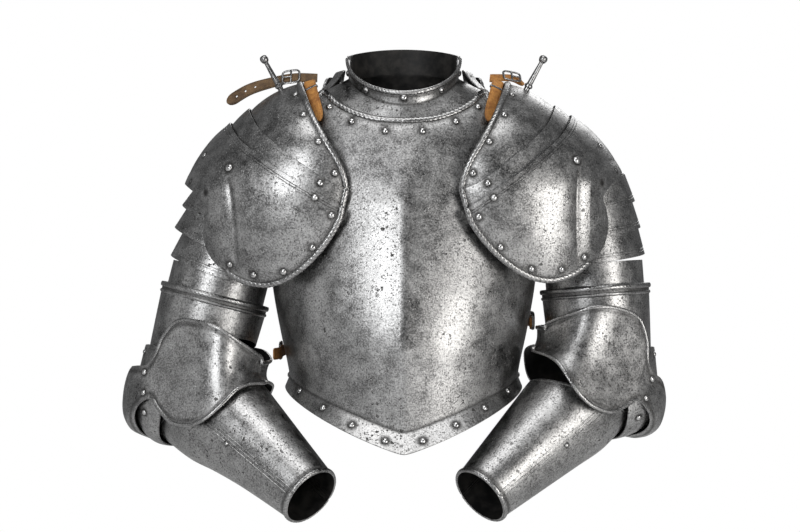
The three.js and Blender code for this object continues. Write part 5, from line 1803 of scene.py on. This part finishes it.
@dataclass
class Strap:
    """A flat band along a line of points.

    Attributes:
        points: Points along its lower face, in mm.
        faces: Where its upper face looks at each point.
        width: Its width in mm.
        tip: How far from its end it narrows to a point, in mm, or zero.
        holes: Distances of its holes from its end, in mm.
        thickness: Its thickness in mm.
        stitched: Whether seams run along its edges.
        stitch: The length of a stitch in mm.
        hole_radius: Its holes' radius in mm.
    """

    points: Sequence[Sequence[float]]
    faces: Sequence[Sequence[float]]
    width: float
    tip: float = 0.0
    holes: Floats = ()
    thickness: float = LEATHER
    stitched: bool = True
    stitch: float = 2.6
    hole_radius: float = 1.5

    def frame(self, share: float) -> tuple[Array, Array, Array, Array]:
        """The band's place at a share of its length.

        Args:
            share: The share.

        Returns:
            Its middle in mm, and the directions of its run, its face and its side.
        """
        step = 1e-2
        low, high = max(share - step, 0), min(share + step, 1)
        centre = along(self.points, np.array(share))
        run = unit(along(self.points, np.array(high)) - along(self.points, np.array(low)))
        wanted = along(self.faces, np.array(share))
        face = unit(wanted - run * np.dot(wanted, run))
        return centre, run, face, np.cross(face, run)

    def mesh(self, name: str, sign: float) -> Obj:
        """Makes the band's solid with rounded edges.

        Args:
            name: The object's name.
            sign: Minus one for the wearer's right.

        Returns:
            The band.
        """
        line = along(self.points, np.linspace(0, 1, 200))
        length = float(np.linalg.norm(np.diff(line, axis=0), axis=1).sum())
        count = max(24, int(length / 1.1))
        shares = np.linspace(0, 1, count)
        out = np.array([0.4, 0.68, 0.76, 0.8, 0.84, 0.94, 0.985, 1])
        across = np.concatenate([-out[::-1], [0], out])
        top, shade = [], []
        for share in shares:
            centre, _, face, side = self.frame(float(share))
            left = (1 - share) * length
            half = self.width / 2
            if self.tip and left < self.tip:
                half *= math.sqrt(max(1 - (1 - left / self.tip) ** 2, 0.02))
            if left > length - 2 or (not self.tip and left < 2):
                half *= 0.96
            edge = 1 - np.abs(across)
            crown = self.thickness * (1 - 0.5 * np.exp(-edge * 14))
            seam = np.exp(-(((np.abs(across) - 0.8) / 0.05) ** 2)) if self.stitched else 0 * across
            beat = 0.5 + 0.5 * math.sin(share * length * 2 * math.pi / self.stitch)
            height = crown - seam * (0.25 + 0.35 * beat)
            top.append(centre + side * (across * half)[:, None] + face * height[:, None])
            # Painted shade in the stitches, and darker towards the edges
            shade.append(np.clip(seam * 0.6 * beat + 0.35 * np.exp(-edge * 9), 0, 1))
        top = np.array(top)
        under = []
        for share, row in zip(shares, top):
            centre, _, face, _ = self.frame(float(share))
            depth = (row - centre) @ face
            under.append(row - face * (depth - 0.25)[:, None])
        ring = np.concatenate([top, np.array(under)[:, ::-1], top[:, :1]], 1)
        # Painted shade on the underside
        values = np.concatenate([shade, np.full((count, len(across)), 0.5), np.array(shade)[:, :1]], 1)
        ring = mirrored(ring, sign) * MM
        obj = Forge.sheet(name, ring, wrapped=True, caps=True)
        Forge.shade_near(obj, ring, values)
        for distance in self.holes:
            self._hole(obj, 1 - distance / length, sign)
        return obj

    def _hole(self, obj: Obj, share: float, sign: float) -> None:
        """Punches a buckle hole."""
        centre, _, face, _ = self.frame(share)
        cut_round(obj, mirrored(centre, sign), mirrored(face, sign), self.hole_radius)

    def placed(self, share: float, lift: float, sign: float) -> Matrix:
        """The place in metres of a fitting that lies on the band, with its x along it.

        Args:
            share: Where along the band it lies.
            lift: How far above the band's lower face, in mm.
            sign: Minus one for the wearer's right.

        Returns:
            The place.
        """
        centre, run, face, side = self.frame(share)
        place = Matrix.Identity(4)
        for column, vector in enumerate((run, side, face)):
            for row in range(3):
                place[row][column] = float(mirrored(vector, sign)[row])
        place.translation = Vector(mirrored(centre + face * lift, sign)) * MM
        return place


@dataclass
class Fittings:
    """The leathers, buckles, strips and pin of one side."""

    shop: Workshop
    side: Side
    strap_points: tuple = (
        ((110, 6, 26), (124, 4, 26.5), (139, 5, 25.5), (153, 9, 18)),
        ((110, 6, 26.3), (138, 6, 26.5), (163, 10, 22), (197, 14, 12), (226, 18, -5)),
    )
    strap_faces: tuple = (
        ((0, -0.6, 0.8), (0, -0.5, 0.86), (0, -0.5, 0.86), (0.2, -0.5, 0.8)),
        ((0, -0.65, 0.76), (0, -0.7, 0.7), (0.1, -0.8, 0.6), (0.2, -0.9, 0.4), (0.2, -0.95, 0.3)),
    )
    tongue_points: tuple = ((119, -25, 21.5), (116, -42, 13), (111, -64, -3), (104, -81, -27))
    tongue_faces: tuple = ((0.2, -0.5, 0.85), (0.3, -0.8, 0.5), (0.35, -0.9, 0.25), (0.35, -0.93, 0.1))
    strip_points: tuple = (
        (84, 76, 20.5), (82, 48, 27), (80, 15, 33), (81, -12, 33), (88, -38, 22), (97, -63, 12),
    )
    strip_faces: tuple = (
        (0.2, 0.8, 0.6), (0.3, 0.4, 0.85), (0.3, 0.1, 0.95), (0.3, -0.2, 0.95), (0.4, -0.4, 0.8),
        (0.5, -0.7, 0.6),
    )
    waist_points: tuple = (
        ((159.7, -30), (161.4, -14), (162.1, 2), (160.1, 16), (153.6, 38), (143.3, 56)),
        ((163.5, -41), (157, -27), (154.4, 2), (152.4, 16), (146, 38), (135.6, 56)),
    )
    waist_faces: tuple = (
        (0.96, -0.25, 0), (1, -0.1, 0), (1, 0, 0), (0.97, 0.2, 0), (0.9, 0.42, 0), (0.8, 0.6, 0),
    )
    waist_levels: Pair = (-284, -322)
    strap_width: float = 16
    strap_tip: float = 11
    strap_holes: tuple = ((7,), (14, 26, 38))
    tongue_width: float = 15
    tongue_tip: float = 15
    keeper_share: float = 0.34
    strip_width: float = 12
    strip_thickness: float = 1.8
    waist_width: float = 15
    waist_tip: float = 9
    waist_holes: Floats = (16,)
    buckle_shares: Pair = (0.62, 0.3)
    waist_buckle_shares: Pair = (0.54, 0.46)
    buckle_half: Pair = (11.1, 10.6)
    wire: float = 1.4
    pin: Pairs = (
        (0, 0), (4.6, 0), (5, 0.4), (5, 2), (3.7, 3), (3.7, 9), (3.7, 15), (3.7, 21), (5.3, 22.5), (5.3, 25),
        (3.6, 27), (3.45, 34), (3.2, 42), (2.9, 50), (2.7, 57), (4.2, 58.5), (4.9, 60), (5.4, 62),
        (5.35, 63.4), (4.6, 65.6), (3.2, 66.8), (1.6, 67.3), (0, 67.4),
    )

    def build(self) -> None:
        """Makes the fittings of one side."""
        index, sign, shop = self.side.index, self.side.sign, self.shop
        name, finishes = self.side.word, self.shop.finishes
        tan = (finishes.orange, Slot.ORANGE)
        points, faces = self.strap_points[index], self.strap_faces[index]
        strap = Strap(points, faces, self.strap_width, self.strap_tip, self.strap_holes[index])
        # The wearer's right shoulder strap takes the tan leather's darker copy, as painted shade
        leather = (tan, (finishes.brown, Slot.BROWN))[index]
        shop.dress(strap.mesh(name + "_shoulder_strap_leather", sign), name + "_shoulder_strap", *leather)
        self._buckle(name + "_shoulder_buckle", strap, self.buckle_shares[index])

        tongue = Strap(self.tongue_points, self.tongue_faces, self.tongue_width, self.tongue_tip)
        leathers = [tongue.mesh(name + "_tongue_leather", sign), self._keeper(tongue, self.keeper_share)]
        leathers[0].data.materials.append(finishes.orange)
        shop.dress(Forge.join(name + "_tongue_leather", leathers), name + "_pauldron_tongue", *tan)

        sheet = dict(thickness=self.strip_thickness, stitched=False)
        strip = Strap(self.strip_points, self.strip_faces, self.strip_width, **sheet)
        steel = (finishes.steel, Slot.STEEL)
        shop.dress(strip.mesh(name + "_shoulder_strip_steel", sign), name + "_shoulder_strip", *steel)

        line = [(x, y, self.waist_levels[index]) for x, y in self.waist_points[index]]
        waist = Strap(line, self.waist_faces, self.waist_width, self.waist_tip, self.waist_holes)
        shop.dress(waist.mesh(name + "_waist_strap_leather", sign), name + "_waist_strap", *tan)
        self._buckle(name + "_waist_buckle", waist, self.waist_buckle_shares[index])

        pin = Forge.lathe(name + "_pin_steel", self._fine_pin(), *shoulder_pin_line(sign), 40)
        shop.dress(pin, name + "_shoulder_pin", finishes.plain, Slot.BRIGHT)

    def _keeper(self, strap: Strap, share: float) -> Obj:
        """A narrow steel loop round a band."""
        turn = np.linspace(0, 2 * np.pi, 49)[:, None]
        around = np.linspace(0, 2 * np.pi, 11)
        half_side, half_face = strap.width / 2 + 0.9, strap.thickness / 2 + 0.6
        side = signed_power(np.cos(turn), 0.4)
        face = signed_power(np.sin(turn), 0.4)
        ring = np.zeros((49, 11, 3))
        ring[..., 0] = 1.5 * np.cos(around)
        ring[..., 1] = side * (half_side + 0.7 * np.sin(around))
        ring[..., 2] = strap.thickness / 2 + face * (half_face + 0.7 * np.sin(around))
        ring[:, -1], ring[-1] = ring[:, 0], ring[0]
        obj = Forge.sheet("keeper", ring * MM, wrapped=True)
        obj.data.transform(strap.placed(share, 0, self.side.sign))
        Forge.edit(obj, Forge.turn_out)
        Forge.shade(obj, 0.3)
        obj.data.materials.append(self.shop.finishes.steel)
        return obj

    def _fine_pin(self) -> list[Pair]:
        """The pin's profile with a row at every millimetre or so."""
        rows = np.array(self.pin)
        fine = [tuple(rows[0])]
        for (r0, h0), (r1, h1) in zip(rows[:-1], rows[1:]):
            count = max(1, int(h1 - h0)) if r0 > 0 and r1 > 0 else 1
            fine += [(lerp(r0, r1, k / count), lerp(h0, h1, k / count)) for k in range(1, count + 1)]
        return fine

    def _buckle(self, node: str, strap: Strap, share: float) -> None:
        """A rounded buckle with a bar and a tongue, in its node's box."""
        turn = np.linspace(0, 2 * np.pi, 65)
        waves = np.stack([np.cos(turn), np.sin(turn)], -1)
        outline = np.array(self.buckle_half) * signed_power(waves, 0.45)
        outline[-1] = outline[0]
        run = unit(np.gradient(outline, axis=0))
        run[0] = run[-1] = unit(outline[1] - outline[-2])
        normal = np.stack([run[:, 1], -run[:, 0]], -1)
        around = np.linspace(0, 2 * np.pi, 13)
        wave = 1 + 0.07 * np.cos(4 * turn)[:, None]
        ring = np.zeros((65, 13, 3))
        ring[..., :2] = outline[:, None] + normal[:, None] * (self.wire * wave * np.cos(around))[..., None]
        ring[..., 2] = 1.2 + 1.15 * np.sin(around)
        ring[:, -1], ring[-1] = ring[:, 0], ring[0]
        loop = Forge.sheet("buckle", ring * MM, wrapped=True)
        Forge.edit(loop, Forge.turn_out)
        Forge.shade(loop, 0.1)
        rounded = [(0, -11.5), (1.2, -11.5), (1.35, -11), (1.35, 11), (1.2, 11.5), (0, 11.5)]
        bar = Forge.lathe("bar", rounded, (0, 0, 1.2), (0, 1, 0), 14)
        pointed = [(0, 0), (1.1, 0), (1.1, 10), (0.8, 11.4), (0, 11.9)]
        prong = Forge.lathe("prong", pointed, (0, 0, 1.5), (1, 0, 0.02), 12)
        place = strap.placed(share, LEATHER + CLEARANCE, self.side.sign)
        obj = Forge.join(node + "_steel", [loop, bar, prong])
        obj.data.transform(place)
        if place.determinant() < 0:
            Forge.edit(obj, bpy.ops.mesh.flip_normals)
        self.shop.dress(obj, node, self.shop.finishes.plain, Slot.BRIGHT)


# Studio


@dataclass
class Studio:
    """The floor, the backdrop, the lamps and the camera."""

    target: Triple = (-0.0047, 0.0, -0.213)
    distance: float = 3.2
    elevation: float = 4.0
    lens: float = 112.5
    sensor: float = 36.0
    surround: Colour = (0.98, 0.99, 1.0, 1)
    surround_strength: float = 0.17
    floor_place: Triple = (0, -2.4, -1.05)
    floor_radius: float = 4.6
    backdrop_place: Triple = (0, 10, -1.3)
    backdrop_size: Triple = (7.8, 5.7, 1)
    lamps: tuple = (
        ("lamp_left", (-1.1, -2.4, 0.6), (0.8, 1.4), 27.0, (0.98, 0.99, 1.0)),
        ("lamp_right", (1.8, -1.8, -0.2), (0.9, 1.5), 26.0, (1.0, 0.98, 0.95)),
        ("lamp_side", (-2.5, -0.7, 0.0), (0.8, 1.5), 3.0, (1.0, 1.0, 1.0)),
        ("lamp_top", (0.0, -0.9, 2.2), (1.8, 1.2), 25.0, (1.0, 1.0, 1.0)),
        ("lamp_low", (0.0, -1.9, -0.95), (1.4, 0.5), 2.0, (1.0, 1.0, 1.0)),
        ("lamp_back", (0.6, 2.4, 1.0), (1.6, 1.2), 16.0, (1.0, 1.0, 1.0)),
    )

    def build(self) -> None:
        """Sets up everything round the object."""
        self._camera()
        self._world()
        self._floor()
        self._backdrop()
        for lamp in self.lamps:
            self._lamp(*lamp)
        bpy.context.scene.view_settings.view_transform = "Standard"

    def _camera(self) -> None:
        """The camera at the photograph's angle."""
        camera = bpy.data.cameras.new("camera")
        camera.lens, camera.sensor_width = self.lens, self.sensor
        tilt = math.radians(self.elevation)
        away = Vector((0, -math.cos(tilt), math.sin(tilt)))
        place = Vector(self.target) + away * self.distance
        bpy.context.scene.camera = self._aimed("camera", camera, place, -away)

    @staticmethod
    def _aimed(name: str, data: bpy.types.ID, place: Vector, direction: Vector) -> Obj:
        """An object for a camera or a lamp that looks along a direction."""
        obj = bpy.data.objects.new(name, data)
        bpy.context.scene.collection.objects.link(obj)
        obj.location = place
        obj.rotation_euler = direction.to_track_quat("-Z", "Y").to_euler()
        return obj

    def _world(self) -> None:
        """An even grey surround."""
        world = bpy.data.worlds.new("surround")
        world.use_nodes = True
        background = world.node_tree.nodes["Background"]
        background.inputs["Color"].default_value = self.surround
        background.inputs["Strength"].default_value = self.surround_strength
        bpy.context.scene.world = world

    def _floor(self) -> None:
        """A plain, pale and matt floor under the stand's height."""
        sizes = dict(vertices=96, radius=self.floor_radius, fill_type="NGON", location=self.floor_place)
        floor = Forge.added("floor", bpy.ops.mesh.primitive_circle_add, **sizes)
        recipe = Recipe("pale_floor")
        recipe.set(Base_Color=grey(0.82), Roughness=0.9)
        floor.data.materials.append(recipe.material)

    def _backdrop(self) -> None:
        """A sheet far behind, plain white to the camera and grey in what reflects it."""
        sizes = dict(size=1, location=self.backdrop_place, rotation=(math.pi / 2, 0, 0))
        sheet = Forge.added("backdrop", bpy.ops.mesh.primitive_plane_add, **sizes)
        sheet.scale = self.backdrop_size
        recipe = Recipe("white_backdrop")
        rays = ("Is Camera Ray", "Is Transmission Ray")
        camera, through_it = (recipe.node("ShaderNodeLightPath", {}, {}, ray) for ray in rays)
        glow = recipe.node("ShaderNodeEmission", {}, {"Color": (1, 1, 1, 1), "Strength": 1.0})
        matt = recipe.node("ShaderNodeBsdfDiffuse", {}, {"Color": (0.35, 0.35, 0.35, 1)})
        mixed = recipe.node("ShaderNodeMixShader", {}, {0: camera + through_it, 1: matt, 2: glow})
        recipe.tree.links.new(mixed.socket, recipe.tree.nodes["Material Output"].inputs["Surface"])
        sheet.data.materials.append(recipe.material)

    def _lamp(self, name: str, place: Triple, size: Pair, power: float, colour: Triple) -> None:
        """A soft lamp that faces the object."""
        lamp = bpy.data.lights.new(name, "AREA")
        lamp.shape, lamp.size, lamp.size_y = "RECTANGLE", *size
        lamp.energy, lamp.color = power, colour
        self._aimed(name, lamp, Vector(place), Vector(self.target) - Vector(place))


def main() -> None:
    """Dresses the armour and sets up the studio."""
    logging.basicConfig(level=logging.INFO, format="%(name)s %(message)s")
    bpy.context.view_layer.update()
    shop = Workshop(Finishes())
    Cuirass(shop).build()
    Gorget(shop).build()
    for side in Side:
        Pauldron(shop, side).build()
        Arm(shop, side).build()
        Fittings(shop, side).build()
    bpy.data.objects.remove(shop.rivet)
    Studio().build()
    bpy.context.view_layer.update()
    LOG.info("%d pieces, %d faces", len(shop.made), sum(len(o.data.polygons) for o in shop.made))


if __name__ == "__main__":
    main()
